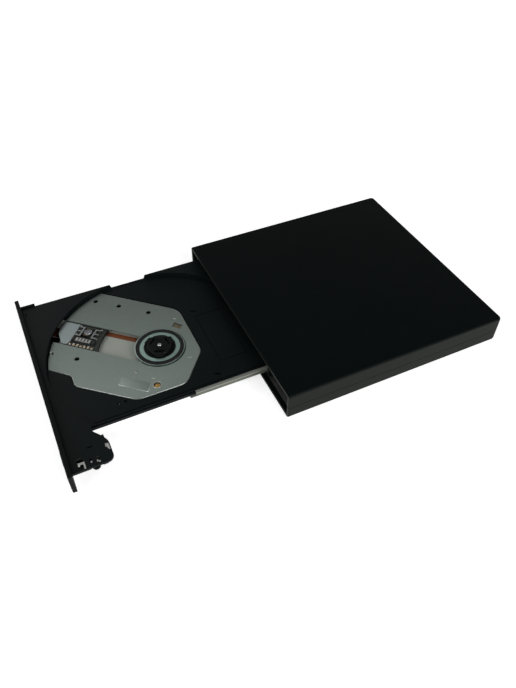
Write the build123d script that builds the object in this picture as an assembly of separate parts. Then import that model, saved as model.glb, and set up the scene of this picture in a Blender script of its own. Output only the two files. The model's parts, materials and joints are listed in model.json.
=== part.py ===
from build123d import *
import os
from math import atan2, cos, degrees, hypot, radians, sin, sqrt

# A slim tray-load disc drive in its own two-shell case, standing with its tray fully open.
# Millimetres, +Z up. Every piece is drawn with Y counted from the case's front edge and X from
# its middle, and is moved to the part's origin, the middle of the underside, as it is written.
# The disc's radius drives the drive's width and depth and the tray's travel; the case follows.

os.makedirs("parts", exist_ok=True)

# A cutting block runs this far past the face that it opens
CUT = 1.0

# Disc and its seat in the tray
DISC_R = 60.0
DISC_PLAY = 0.5
SEAT_Z = 6.9
SEAT_SLOPE = 0.15
SEAT_FRONT_MARGIN = 2.4
SEAT_BACK_MARGIN = 0.55
BAND_WIDTH = 2.1
BAND_RISE = 0.2
SPINDLE_X = -1.9

# Case
CASE_WALL = 1.9
CASE_SIDE_GAP = 0.6
CASE_CORNER_R = 2.4
CASE_LONG_EDGE_R = 1.5
MOUTH_EDGE = 0.3
SEAM_Z = 7.6
SEAM_GAP = 0.24
SEAM_LIP = 0.9
SEAM_LIP_HEIGHT = 1.2
SEAM_LIP_ROOT = 1.5
SEAM_LIP_START = 0.5
SEAM_LIP_PLAY = 0.05
BOSS_PLAY = 0.25
BOSS_ROOF = 1.2
CASE_SCREW_X = (-50.0, 6.0)
CASE_SCREW_SUNK = 0.5
CASE_SCREW_BITE = 4.0

# Rubber feet under the case
FOOT_R = 4.5
FOOT_PROUD = 0.6
FOOT_SUNK = 0.6
FOOT_EDGE = 0.25
FOOT_INSET_X = 14.5
FOOT_INSET_Y = 12.5

# Drive housing of folded sheet
DRIVE_SIDE_MARGIN = 4.0
DRIVE_HEIGHT = 12.7
DRIVE_FLOOR_GAP = 0.1
DRIVE_BACK_GAP = 4.5
SHEET = 0.45
NOTCH_PAST_TRAY = 2.8
NOTCH_DEPTH = 11.6
EMBOSS_X = (-36.0, 0.0)
EMBOSS_Y = (40.0, 86.0)
EMBOSS_HALF_X = 11.0
EMBOSS_HALF_Y = 14.0
EMBOSS_CORNER_R = 3.0
COVER_FLANGE = 4.0
COVER_FLANGE_INSET = 6.0
COVER_SCREW_X = (-54.0, -18.0, 18.0)
COVER_SCREW_INSET = 3.0
COVER_SCREW_HEAD_R = 1.5
COVER_SCREW_HEAD_H = 0.08
COVER_SCREW_R = 0.65
COVER_SCREW_REACH = 1.6
COVER_SCREW_PLAY = 0.05
COVER_LUG_HALF = 2.0
COVER_LUG_THICK = 0.5
DRIVE_SCREW_X = 46.0
DRIVE_SCREW_FRONT_Y = 30.0
DRIVE_SCREW_NOTCH_GAP = 11.6
DRIVE_SCREW_SUNK = 0.3
DRIVE_POST_R = 3.0

# Tray, drawn fully open; so much of it stays in the case
TRAY_HELD = 14.85
TRAY_BACK_CLEAR = 0.6
TRAY_LEFT_GAP = 2.6
TRAY_RIGHT_GAP = 28.9
TRAY_TOP_Z = 9.4
TRAY_UNDER_Z = 6.0
DECK_SKIN = 1.1
RIM_WIDTH = 0.9
RIM_Z = 7.6
GROOVE_WIDTH = 1.0
GROOVE_DEPTH = 0.5
GROOVE_START = 3.0
CORNER_WALL = 1.3
CORNER_WALL_RISE = 1.0
CORNER_WALL_LENGTH = 7.8
CORNER_WALL_DROP = 1.5
SKIRT = 1.2
SKIRT_LIFT = 0.6
LABEL_LEFT = -15.3
LABEL_RIGHT = 23.3
LABEL_FRONT = 26.2
LABEL_BACK = 42.0
LABEL_LINE = 0.5
LABEL_LINE_DEPTH = 0.3
MARK_X = (5.0, 7.2)
MARK_Y = (1.3, 2.1)
MARK_DEPTH = 0.6

# Slits and small holes in the seat's floor, counted from the spindle
SEAT_SLITS = [(-19.3, 27.1), (31.1, 21.5)]
SLIT_ANGLE = 65.0
SLIT_LENGTH = 3.3
SLIT_WIDTH = 1.3
SEAT_DOTS = [(28.4, -31.7), (28.3, -28.2)]
SEAT_DOT_R = 0.8

# Bezel
BEZEL_THICK = 2.2
BEZEL_BACK_GAP = 0.4
BEZEL_HEIGHT = 12.4
BEZEL_EDGE = 0.35

# Traverse: the sheet cover, the frame below it and the slot that the pickup runs along
SLOT_ANGLE = 228.6
SLOT_SIDE_FAR = 4.9
SLOT_SIDE_NEAR = -12.8
COVER_Z = 6.2
COVER_THICK = 0.6
COVER_EDGE = 0.35
COVER_RIM_GAP = 0.5
COVER_EDGE_GAP = 0.4
PLATE_HOLE_R = 1.4
EYELET_R = 1.9
WINDOW_SPOT = (-12.1, 14.6)
WINDOW_ANGLE = 41.0
WINDOW_LENGTH = 5.2
WINDOW_WIDTH = 3.4
FRAME_Z = 3.5
FRAME_FLOOR = 0.3
FRAME_WALL = 1.0
FRAME_INSET = 0.5
FRAME_TIP = 1.0
FRAME_SIDE_CLEAR = 0.8
SHIELD_THICK = 0.2
SHIELD_Z = 2.75
SHIELD_SIDE_INSET = 5.0
SHIELD_RIM_INSET = 2.2
SHIELD_FRONT_INSET = 1.6
SHIELD_REACH = 30.0
SHIELD_SCREW_R = 0.6
SHIELD_SCREW_HEAD_R = 1.2
SHIELD_SCREW_HEAD_H = 0.15
SHIELD_SCREW_REACH = 2.6
SHIELD_SCREW_LEFT_GAP = 4.4
SHIELD_SCREW_RIGHT_GAP = 3.9
SHIELD_SCREW_FRONT_GAP = 3.8
SHIELD_SCREW_BACK_GAP = 3.5
SHIELD_LUG_R = 2.2

# The cover's corners, counted from the spindle, each with its rounding; the seat's round
# cuts off those that lie outside it
COVER_CORNERS = [(-80.0, -42.4, 0), (-24.1, 20.0, 10.3), (11.4, 20.0, 8.1), (30.2, 4.6, 8.1),
                 (30.1, -22.2, 9.0), (7.6, -49.0, 4.4), (-0.4, -49.0, 4.0), (-21.6, -72.7, 0),
                 (-80.0, -72.7, 0)]
PLATE_HOLES = [(-51.5, -22.0), (-41.9, -10.8), (-29.4, 3.2), (-20.5, -54.8), (-10.8, -43.3)]
DAMPER_PLACES = [(24.8, -10.0), (-47.1, -14.6), (-13.7, -52.6)]
DAMPER_R = 2.3
DAMPER_PLAY = 0.1
DAMPER_PAD_LIFT = 0.5
DAMPER_ROOF_GAP = 0.7
DAMPER_SCREW_HEAD_R = 1.5
DAMPER_SCREW_HEAD_H = 0.6
DAMPER_SCREW_SUNK = 0.1
DAMPER_SCREW_REACH = 0.4
DAMPER_ARM_WIDTH = 3.0
DAMPER_ARM_FOOT = 1.6
DAMPER_ARM_GAP = 0.1

# Turntable and hub
TABLE_R = 13.7
TABLE_HOLE_GAP = 0.6
TABLE_Z = 6.5
TABLE_THICK = 0.9
PAD_EDGE_GAP = 0.5
PAD_WIDTH = 2.0
PAD_THICK = 0.35
HUB_R = 7.2
HUB_TOP_Z = 9.2
HUB_DOME_R = 0.9
HUB_FLANGE_R = 8.7
HUB_FLANGE = 0.25
SHAFT_R = 1.2
SHAFT_TOP_Z = 9.5
SHAFT_LIFT = 0.3
SHAFT_EDGE = 0.3
MOTOR_R = 10.5
MOTOR_GAP = 0.2
MOTOR_ROOM = 0.3
MOTOR_BORE_PLAY = 0.05
CLAW_COUNT = 3
CLAW_FIRST_ANGLE = -20.0
CLAW_WIDTH = 4.8
CLAW_TIP_R = 8.4
CLAW_ROOT_R = 5.4
CLAW_STROKE = 1.0
CLAW_PLAY = 0.15
CLAW_Z = 7.9
CLAW_HEIGHT = 1.1
CLAW_EDGE = 0.4
CLAW_CORNER_R = 0.6

# Rods and lead screw, in the slot's own directions: out from the spindle, and across
ROD_R = 0.7
ROD_Z = 4.9
ROD_FAR = 7.2
ROD_NEAR = -15.2
ROD_FAR_START = 13.2
ROD_NEAR_START = 6.0
ROD_PAST_DISC = 4.0
ROD_PLAY = 0.05
ROD_POST_R = 1.5
ROD_POST_INSET = 0.8
ROD_POST_RISE = 0.3
SCREW_ACROSS = -18.6
SCREW_R = 0.8
SCREW_PLAY = 0.25
SCREW_START = 10.4
SCREW_INSIDE_DISC = 6.0
SCREW_POST_R = 1.4
SCREW_POST_RISE = 0.2
SCREW_POST_INSET = 0.6
SCREW_BORE_PLAY = 0.06
STEPPER_GAP = 0.3
STEPPER_LENGTH = 9.0
STEPPER_NEAR = 2.6
STEPPER_FAR = 1.7
STEPPER_CORNER_R = 0.6
STEPPER_ROOF_GAP = 0.1

# Pickup; lengths out are counted from the lens
LENS_INSIDE_DISC = 17.0
LENS_ACROSS = -0.7
LENS_R = 1.75
LENS_HEIGHT = 0.9
LENS_DOME_R = 0.6
SLED_Z = 4.0
SLED_HEIGHT = 1.9
SLED_ARM = 1.6
SLED_PLAN = [(-13.0, 5.2), (15.5, 5.2), (15.9, -1.0), (14.9, -5.6), (10.0, -12.2), (-13.0, -12.2)]
SLED_NOSE_GAP = 9.0
SLED_WELL_HALF = 3.6
SLED_WELL_DEPTH = 0.6
SLED_FAR_ARM = (-7.2, -2.0)
SLED_NEAR_ARM = (-8.4, 3.4)
HALF_NUT = (-8.2, -6.4)
HALF_NUT_HALF_HEIGHT = 0.4
PICKUP_COVER_PLAN = [(16.8, 4.2), (7.1, 4.2), (6.8, -9.1), (7.7, -11.8), (10.7, -11.8), (15.8, -5.6),
                     (17.0, -1.0)]
PICKUP_COVER_THICK = 0.5
HOLDER_LENGTH = 5.2
HOLDER_WIDTH = 4.8
HOLDER_Z = 6.4
HOLDER_THICK = 0.6
FRAME_GAP = 0.5
FRAME_WEB = 1.0
FRAME_ARM = 2.4
FRAME_ARM_WIDTH = 0.9
FRAME_ARMS = (-3.6, -0.45, 2.7)
FRAME_HEIGHT = 0.9
LAND_COUNT = 7
LAND_FIRST = -7.8
LAND_PITCH = 2.2
LAND_LENGTH = 1.4
LAND_ACROSS = (-11.6, -9.8)
LAND_THICK = 0.25
LASER_OUT = (-4.6, 4.6)
LASER_ACROSS = (-8.2, -5.4)
LASER_HEIGHT = 0.7
FLEX_THICK = 0.12
FLEX_RUN = (16.0, 58.0)
FLEX_ACROSS = (2.3, 5.5)
FLEX_TIP_RUN = (59.0, 64.5)
FLEX_TIP_ACROSS = (-6.5, 0.2)
POCKET_PAST_DISC = 16.6
POCKET_SIDE = 0.6
POCKET_NECK = 2.0

# Sliding rails: an H section between the tray's tongue and the fixed guide
RAIL_HOME_GAP = 10.95
RAIL_BACK_GAP = 1.6
RAIL_WEB = 0.35
RAIL_FLANGE = 0.5
RAIL_STEP = 3.3
RAIL_SIDE_PLAY = 0.4
RIGHT_RAIL_PAST_TRAY = 1.02
RIGHT_RAIL_HALF = 0.87
RIGHT_RAIL_Z = 4.5
RIGHT_RAIL_HEIGHT = 2.8
LEFT_RAIL_GAP = 2.9
LEFT_RAIL_HALF = 1.8
LEFT_RAIL_Z = 2.9
LEFT_RAIL_HEIGHT = 2.7
TONGUE_PLAY_X = 0.2
TONGUE_PLAY_Z = 0.2
TONGUE_START = 12.0
GUIDE_WEB = 1.2
GUIDE_FRONT_GAP = 0.4
GUIDE_PAST_RAIL = 0.5

# Front lobe with the latch and the eject button; its places are counted left from its right
# edge and back from its front
LOBE_RIGHT_GAP = 4.8
LOBE_DEPTH = 20.3
LOBE_WALL = 0.9
LOBE_WALL_DROP = 0.4
LOBE_CORNER_R = 3.4
LOBE_SKIRT_GAP = 0.4
NECK_PAST_TRAY = 4.3
NECK_DEPTH = 14.7
NECK_TONGUE_LAP = 3.0
LOBE_SWELL = [(4.4, -2.3), (8.2, -0.3), (10.6, 0.0)]
LOBE_HOLES = [(7.1, 1.6, 3.5, 6.0), (11.7, 10.9, 9.7, 12.4), (4.9, 2.0, 9.1, 10.5),
              (4.8, 1.2, 12.1, 13.8), (10.4, 6.9, 17.8, 19.4)]
LOBE_BOSSES = [(14.6, 16.3), (6.8, 15.3)]
LOBE_BOSS_R = 1.4
BUTTON_GAP = 17.0
BUTTON_Z = 5.9
BUTTON_LENGTH = 8.6
BUTTON_HEIGHT = 3.0
BUTTON_PROUD = 0.5
BUTTON_STROKE = 0.5
BUTTON_PLAY = 0.2
BUTTON_EDGE = 0.3
BUTTON_FLANGE = 1.6
BUTTON_FLANGE_THICK = 0.7
BUTTON_FLANGE_GAP = 0.1
BUTTON_STEM_HALF = 0.8
BUTTON_REST_GAP = 0.05
LAMP_GAP = 30.0
LAMP_LENGTH = 2.6
LAMP_HEIGHT = 1.1
LAMP_PROUD = 0.05
PINHOLE_GAP = 38.0
PINHOLE_R = 0.6
LATCH_PIVOT_LEFT = 7.2
LATCH_PIVOT_BACK = 8.5
LATCH_PIN_R = 0.8
LATCH_PIN_DROP = 0.9
LATCH_HEAD_R = 1.9
LATCH_PLAY = 0.05
LATCH_Z = 6.4
LATCH_THICK = 1.4
LATCH_NOSE_R = 2.0
LATCH_NOSE_LEFT = 1.5
LATCH_NOSE_BACK = 11.4
LATCH_NOSE_EDGE_R = 0.4
LATCH_TAIL = 1.5
LATCH_WAIST = 2.6
LATCH_WAIST_FRONT = 1.2
LATCH_WAIST_BACK = 1.4
LATCH_SIDE = 1.6
CATCH_GAP = 0.35
CATCH_THICK = 1.4
CATCH_BEHIND_NOSE = 1.2
STRIP = 0.4
STRIP_GAP = 0.15
SOLENOID = (16.2, 9.8, 7.3, 12.3)
SOLENOID_HEIGHT = 3.4
PLUNGER_R = 0.8
PLUNGER_LENGTH = 0.5
PLUNGER_RISE = 2.5
LOBE_BOARD_Z = 3.1
LOBE_BOARD_SIDE_GAP = 0.5
LOBE_BOARD_RIGHT = 5.0
LOBE_BOARD_FRONT = 2.0
LOBE_BOARD_BACK = 1.2
SWITCH_BACK = 3.2
SWITCH_HALF = 2.2
SWITCH_DEPTH = 2.6
SWITCH_RISE = 1.2

# Electronics in the housing and at the case's back
BOARD_THICK = 0.8
MAIN_BOARD_RISE = 0.8
MAIN_BOARD_GUIDE_GAP = 1.2
MAIN_BOARD_WALL_GAP = 0.4
MAIN_BOARD_FRONT_GAP = 2.0
MAIN_BOARD_BACK_GAP = 0.6
BOARD_POST_R = 1.4
BOARD_POST_INSET_X = 2.0
BOARD_POST_INSET_Y = 3.0
CHIP_CORNER_R = 0.3
MAIN_CHIPS = [(32.55, 12.0, 6.0, 1.1), (20.55, 6.0, 4.0, 1.0), (10.55, 5.0, 3.0, 1.6)]
RIBBON_WIDTH = 14.0
RIBBON_THICK = 0.15
RIBBON_LEFT = 25.1
RIBBON_BACK_GAP = 5.55
RIBBON_UNDER_BOARD = 2.0
RIBBON_SIDE_PLAY = 0.5
RIBBON_ROOM = 0.35
BRIDGE_POST = 2.0
BRIDGE_POST_R = 1.5
BRIDGE_POST_INSET = 1.6
BRIDGE_NOTCH_GAP = 0.85
BRIDGE_WALL_GAP = 0.6
BRIDGE_FRONT_GAP = 1.9
BRIDGE_CHIP_LEFT = 5.0
BRIDGE_CHIP_HALF = 2.0
BRIDGE_CHIP_FRONT = 4.0
BRIDGE_CHIP_DEPTH = 1.6
BRIDGE_CHIP_HEIGHT = 0.9
PLUG_HEIGHT = 3.9
PLUG_SIDE = (20.1, 4.1)
PLUG_INSET = 0.5
PLUG_FRONT = 3.0
PLUG_TAIL = 8.0
PLUG_TAIL_INSET = 1.5
PLUG_TAIL_DROP = 0.6
PLUG_MEET = 0.4
PLUG_DEPTH = 3.0
PLUG_WINDOW_INSET = 0.3
PLUG_WINDOW_PLAY = 0.1
USB_WIDTH = 7.7
USB_HEIGHT = 3.9
USB_DEPTH = 9.2
USB_GAP = 12.6
USB_SKIN = 0.4
USB_BACK_WALL = 3.0
USB_TONGUE_INSET = 1.3
USB_TONGUE_ROOT = 2.0
USB_TONGUE_SHORT = 1.0
USB_TONGUE_HALF = 0.4
JACK_GAP = 21.4
JACK_SIDE = 5.2
JACK_DEPTH = 9.0
JACK_HOLE_R = 1.7
JACK_HOLE_DEPTH = 8.0
JACK_NECK = 0.4
JACK_PIN_R = 0.55
JACK_PIN_START = 8.5
JACK_PIN_SHORT = 1.5
SOCKET_PLAY = 0.2
SOCKET_SUNK = 0.5
SOCKET_WALL_GAP = 0.3

# Ejector, a sprung pusher behind the closed lobe
PUSHER_GAP = 13.0
PUSHER_Z = 8.6
PUSHER_R = 1.2
PUSHER_STROKE = 10.0
PUSHER_TIP_GAP = 0.3
PUSHER_TIP_R = 0.5
PUSHER_TAIL = 8.0
PUSHER_COLLAR_R = 1.85
PUSHER_COLLAR_GAP = 0.2
PUSHER_COLLAR_THICK = 1.2
PUSHER_PLAY = 0.08
EJECTOR_START = 13.5
EJECTOR_LENGTH = 26.0
EJECTOR_WALL = 1.0
EJECTOR_SIDE = 0.95
EJECTOR_BORE_PLAY = 0.15
EJECTOR_ARM_INSET = 4.0
EJECTOR_ARM_THICK = 1.4
SPRING_WIRE = 0.35
SPRING_GAP = 0.2

# Fasteners
SCREW_HEAD_R = 1.6
SCREW_SHANK_R = 0.8
SCREW_HEAD_H = 0.9
SCREW_HOLE_PLAY = 0.1

# Values that follow from the sizes above: the seat, the housing and the case round it
SEAT_R = DISC_R + DISC_PLAY
TRAY_DEPTH = SEAT_FRONT_MARGIN + 2 * SEAT_R + SEAT_BACK_MARGIN
DRIVE_HALF = DISC_R + DRIVE_SIDE_MARGIN
DRIVE_Z = CASE_WALL + DRIVE_FLOOR_GAP
DRIVE_TOP = DRIVE_Z + DRIVE_HEIGHT
DRIVE_FRONT = BEZEL_THICK + BEZEL_BACK_GAP
DRIVE_BACK = BEZEL_THICK + TRAY_DEPTH + TRAY_BACK_CLEAR + SHEET
INNER_HALF = DRIVE_HALF + CASE_SIDE_GAP
INNER_TOP = DRIVE_TOP + DRIVE_FLOOR_GAP
INNER_BACK = DRIVE_BACK + DRIVE_BACK_GAP
HALF_WIDTH = INNER_HALF + CASE_WALL
CASE_HEIGHT = INNER_TOP + CASE_WALL
CASE_DEPTH = INNER_BACK + CASE_WALL
PAN_HALF = DRIVE_HALF - SHEET
PAN_INNER = PAN_HALF - SHEET
PAN_FLOOR_Z = DRIVE_Z + SHEET
COVER_UNDER_Z = DRIVE_TOP - SHEET
NOTCH_BACK = DRIVE_BACK - NOTCH_DEPTH
COVER_SCREW_Y = DRIVE_BACK - COVER_SCREW_INSET
BOSS_SPLIT_Z = SEAM_Z + SEAM_LIP_HEIGHT
CASE_BOSS_R = (INNER_BACK - DRIVE_BACK - SHEET) / 2 - BOSS_PLAY
CASE_SCREW_SPOTS = [(x, (DRIVE_BACK + SHEET + INNER_BACK) / 2) for x in CASE_SCREW_X]
FOOT_SPOTS = [(side * (HALF_WIDTH - FOOT_INSET_X), y) for side in (-1, 1)
              for y in (FOOT_INSET_Y, CASE_DEPTH - FOOT_INSET_Y)]
DRIVE_SCREW_SPOTS = [(side * DRIVE_SCREW_X, y) for side in (-1, 1)
                     for y in (DRIVE_SCREW_FRONT_Y, NOTCH_BACK - DRIVE_SCREW_NOTCH_GAP)]

# The open tray and what it carries
TRAVEL = TRAY_DEPTH - TRAY_HELD
BEZEL_FRONT = -TRAVEL
TRAY_FRONT = BEZEL_FRONT + BEZEL_THICK
TRAY_BACK = TRAY_FRONT + TRAY_DEPTH
TRAY_LEFT = TRAY_LEFT_GAP - DRIVE_HALF
TRAY_RIGHT = DRIVE_HALF - TRAY_RIGHT_GAP
NOTCH_X = TRAY_RIGHT + NOTCH_PAST_TRAY
SPINDLE_Y = TRAY_FRONT + SEAT_FRONT_MARGIN + SEAT_R
BEZEL_Z = DRIVE_Z + (DRIVE_HEIGHT - BEZEL_HEIGHT) / 2
OUT = (cos(radians(SLOT_ANGLE)), sin(radians(SLOT_ANGLE)))
ACROSS = (OUT[1], -OUT[0])
COVER_TOP_Z = COVER_Z + COVER_THICK
COVER_TRIM_R = SEAT_R - SEAT_SLOPE - COVER_RIM_GAP
TABLE_TOP_Z = TABLE_Z + TABLE_THICK
TABLE_HOLE_R = TABLE_R + TABLE_HOLE_GAP
PAD_OUTER_R = TABLE_R - PAD_EDGE_GAP
PAD_INNER_R = PAD_OUTER_R - PAD_WIDTH
FRAME_TOP_Z = FRAME_Z + FRAME_FLOOR
DAMPER_PAD_Z = FRAME_Z + DAMPER_PAD_LIFT
SHIELD_TOP_Z = SHIELD_Z + SHIELD_THICK
ROD_END = DISC_R + ROD_PAST_DISC
SCREW_END = DISC_R - SCREW_INSIDE_DISC
LENS_OUT = DISC_R - LENS_INSIDE_DISC
SLED_TOP_Z = SLED_Z + SLED_HEIGHT
SLED_FAR = ROD_FAR + SLED_ARM
SLED_NEAR = ROD_NEAR - SLED_ARM
ROD_RUNS = [(ROD_FAR_START, ROD_FAR), (ROD_NEAR_START, ROD_NEAR)]
SHIELD_LEFT = TRAY_LEFT + SHIELD_SIDE_INSET
SHIELD_RIGHT = TRAY_RIGHT - SHIELD_RIM_INSET
SHIELD_FRONT = TRAY_FRONT + SHIELD_FRONT_INSET
SHIELD_BACK = SPINDLE_Y + SHIELD_REACH
SHIELD_SCREW_SPOTS = [(SHIELD_LEFT + SHIELD_SCREW_LEFT_GAP, SHIELD_BACK - SHIELD_SCREW_BACK_GAP),
                      (SHIELD_RIGHT - SHIELD_SCREW_RIGHT_GAP, SHIELD_BACK - SHIELD_SCREW_BACK_GAP),
                      (SHIELD_RIGHT - SHIELD_SCREW_RIGHT_GAP, SHIELD_FRONT + SHIELD_SCREW_FRONT_GAP)]
DAMPER_SPOTS = [(SPINDLE_X + x, SPINDLE_Y + y) for x, y in DAMPER_PLACES]
DAMPER_ARM_ENDS = [(TRAY_RIGHT - 3.7, SPINDLE_Y - 10.0), (TRAY_LEFT + 7.0, SPINDLE_Y - 6.2),
                   (SPINDLE_X - 6.6, TRAY_FRONT + 1.7)]

# Rails, and the lobe beside them
RAIL_HOME = DRIVE_FRONT + RAIL_HOME_GAP
RAIL_LENGTH = NOTCH_BACK - SHEET - RAIL_BACK_GAP - RAIL_HOME
RAIL_FRONT = RAIL_HOME - TRAVEL / 2
RIGHT_RAIL_X = TRAY_RIGHT + RIGHT_RAIL_PAST_TRAY
LEFT_RAIL_X = LEFT_RAIL_GAP - DRIVE_HALF
GUIDE_FRONT = DRIVE_FRONT + GUIDE_FRONT_GAP
GUIDE_BACK = RAIL_HOME + RAIL_LENGTH + GUIDE_PAST_RAIL
GUIDE_X = RIGHT_RAIL_X + RIGHT_RAIL_HALF + RAIL_SIDE_PLAY
GUIDE_END_X = GUIDE_X + GUIDE_WEB
LOBE_RIGHT = DRIVE_HALF - LOBE_RIGHT_GAP
LOBE_BACK = TRAY_FRONT + LOBE_DEPTH
LOBE_UNDER_Z = TRAY_TOP_Z - DECK_SKIN
LOBE_HOME_BACK = LOBE_BACK + TRAVEL
NECK_X = TRAY_RIGHT + NECK_PAST_TRAY
NECK_BACK = TRAY_FRONT + NECK_DEPTH
BUTTON_X = DRIVE_HALF - BUTTON_GAP
LAMP_X = DRIVE_HALF - LAMP_GAP
PINHOLE_X = DRIVE_HALF - PINHOLE_GAP
LATCH_TOP_Z = LATCH_Z + LATCH_THICK
LATCH_PIVOT_X = LOBE_RIGHT - LATCH_PIVOT_LEFT
LATCH_PIVOT_Y = TRAY_FRONT + LATCH_PIVOT_BACK
LATCH_NOSE_X = LOBE_RIGHT - LATCH_NOSE_LEFT
LATCH_NOSE_Y = TRAY_FRONT + LATCH_NOSE_BACK
LOBE_BOARD_TOP_Z = LOBE_BOARD_Z + BOARD_THICK
SWITCH_FRONT = TRAY_FRONT + SWITCH_BACK

# Electronics and the ejector
MAIN_BOARD_Z = PAN_FLOOR_Z + MAIN_BOARD_RISE
MAIN_BOARD_TOP_Z = MAIN_BOARD_Z + BOARD_THICK
MAIN_BOARD_X = (GUIDE_END_X + MAIN_BOARD_GUIDE_GAP, PAN_INNER - MAIN_BOARD_WALL_GAP)
MAIN_BOARD_Y = (LOBE_HOME_BACK + MAIN_BOARD_FRONT_GAP, NOTCH_BACK - SHEET - MAIN_BOARD_BACK_GAP)
RIBBON_BACK = MAIN_BOARD_Y[1] - RIBBON_BACK_GAP
RIBBON_FRONT = RIBBON_BACK - RIBBON_WIDTH
RIBBON_X = TRAY_RIGHT - RIBBON_LEFT
BRIDGE_Z = CASE_WALL + BRIDGE_POST
BRIDGE_TOP_Z = BRIDGE_Z + BOARD_THICK
BRIDGE_X = (NOTCH_X + SHEET + BRIDGE_NOTCH_GAP, INNER_HALF - BRIDGE_WALL_GAP)
BRIDGE_Y = (NOTCH_BACK + BRIDGE_FRONT_GAP, INNER_BACK - BRIDGE_WALL_GAP)
PLUG_X = (INNER_HALF - PLUG_SIDE[0], INNER_HALF - PLUG_SIDE[1])
PLUG_TOP_Z = BRIDGE_TOP_Z + PLUG_HEIGHT
USB_X = INNER_HALF - USB_GAP
JACK_X = INNER_HALF - JACK_GAP
SOCKET_BACK = CASE_DEPTH - SOCKET_SUNK
USB_MID_Z = BRIDGE_TOP_Z + USB_HEIGHT / 2
JACK_MID_Z = BRIDGE_TOP_Z + JACK_SIDE / 2
PUSHER_X = DRIVE_HALF - PUSHER_GAP
PUSHER_TIP = LOBE_HOME_BACK + PUSHER_TIP_GAP - PUSHER_STROKE
EJECTOR_Y = (LOBE_HOME_BACK + EJECTOR_START, LOBE_HOME_BACK + EJECTOR_START + EJECTOR_LENGTH)
COLLAR_Y = EJECTOR_Y[0] + EJECTOR_WALL + PUSHER_COLLAR_GAP
COLLAR_BACK = COLLAR_Y + PUSHER_COLLAR_THICK


def block(x0, x1, y0, y1, z0, z1):
    """A box from its lowest to its highest corner."""
    return Pos(x0, y0, z0) * Box(x1 - x0, y1 - y0, z1 - z0, align=(Align.MIN, Align.MIN, Align.MIN))


def post(x, y, z0, z1, r):
    """An upright round post."""
    return Pos(x, y, z0) * Cylinder(r, z1 - z0, align=(Align.CENTER, Align.CENTER, Align.MIN))


def rod_y(x, z, y0, y1, r):
    """A round rod along Y."""
    body = Cylinder(r, y1 - y0, align=(Align.CENTER, Align.CENTER, Align.MIN))
    return Pos(x, y0, z) * Rot(-90, 0, 0) * body


def outline(points, z0, z1):
    """A straight-sided plate from its corner points."""
    face = make_face(Polyline(*points, close=True))
    return Pos(0, 0, z0) * extrude(face, z1 - z0)


def soft_block(x0, x1, y0, y1, z0, z1, r):
    """A box whose upright edges are rounded."""
    flat = Pos((x0 + x1) / 2, (y0 + y1) / 2) * RectangleRounded(x1 - x0, y1 - y0, r)
    return Pos(0, 0, z0) * extrude(flat, z1 - z0)


def slot_y(x, z, length, height, y0, y1):
    """A round-ended bar along X, pushed through from y0 to y1."""
    flat = Plane.XZ * SlotOverall(length, height)
    return Pos(x, y1, z) * extrude(flat, y1 - y0)


def top_edges(body):
    """The edges round a body's highest face."""
    return body.faces().sort_by(Axis.Z)[-1].edges()


def low_edges(body):
    """The edges round a body's lowest face."""
    return body.faces().sort_by(Axis.Z)[0].edges()


def front_edges(body):
    """The edges round a body's foremost face."""
    return body.faces().sort_by(Axis.Y)[0].edges()


def at(out, across):
    """A plan point given by its distance out from the spindle and across the slot."""
    return (SPINDLE_X + out * OUT[0] + across * ACROSS[0], SPINDLE_Y + out * OUT[1] + across * ACROSS[1])


def slot_outline(points, z0, z1):
    """A plate whose corners are given in the slot's own directions."""
    return outline([at(out, across) for out, across in points], z0, z1)


def slot_block(out0, out1, across0, across1, z0, z1):
    """A box that lies square to the slot."""
    return slot_outline([(out0, across0), (out1, across0), (out1, across1), (out0, across1)], z0, z1)


def slot_rod(out0, out1, across, z, r):
    """A round rod along the slot."""
    x, y = at(out0, across)
    place = Pos(x, y, z) * Rot(0, 0, SLOT_ANGLE) * Rot(0, 90, 0)
    return place * Cylinder(r, out1 - out0, align=(Align.CENTER, Align.CENTER, Align.MIN))


def lens_block(out0, out1, across0, across1, z0, z1):
    """A box square to the slot, with its lengths out counted from the lens."""
    return slot_block(LENS_OUT + out0, LENS_OUT + out1, across0, across1, z0, z1)


def lens_outline(points, z0, z1):
    """A plate in the slot's own directions, with its lengths out counted from the lens."""
    return slot_outline([(LENS_OUT + out, across) for out, across in points], z0, z1)


def spindle_post(z0, z1, r):
    """A round post on the spindle's axis."""
    return post(SPINDLE_X, SPINDLE_Y, z0, z1, r)


def lobe_block(left, right, front, back, z0, z1):
    """A box counted left from the lobe's right edge and back from its front."""
    return block(LOBE_RIGHT - left, LOBE_RIGHT - right, TRAY_FRONT + front, TRAY_FRONT + back, z0, z1)


def screw(x, y, z_head, z_tip, head_r=SCREW_HEAD_R, shank_r=SCREW_SHANK_R, head_h=SCREW_HEAD_H):
    """A pan-head screw with a cross recess; its head is at z_head and it points to z_tip."""
    way = 1 if z_tip > z_head else -1
    neck = z_head + way * head_h
    body = post(x, y, min(z_head, neck), max(z_head, neck), head_r)
    body += post(x, y, min(neck, z_tip), max(neck, z_tip), shank_r)
    arm, cut = head_r * 0.62, head_r * 0.16
    z0, z1 = sorted((z_head, z_head + way * head_h * 0.5))
    for half_x, half_y in ((arm, cut), (cut, arm)):
        body -= block(x - half_x, x + half_x, y - half_y, y + half_y, z0, z1)
    return body


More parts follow.
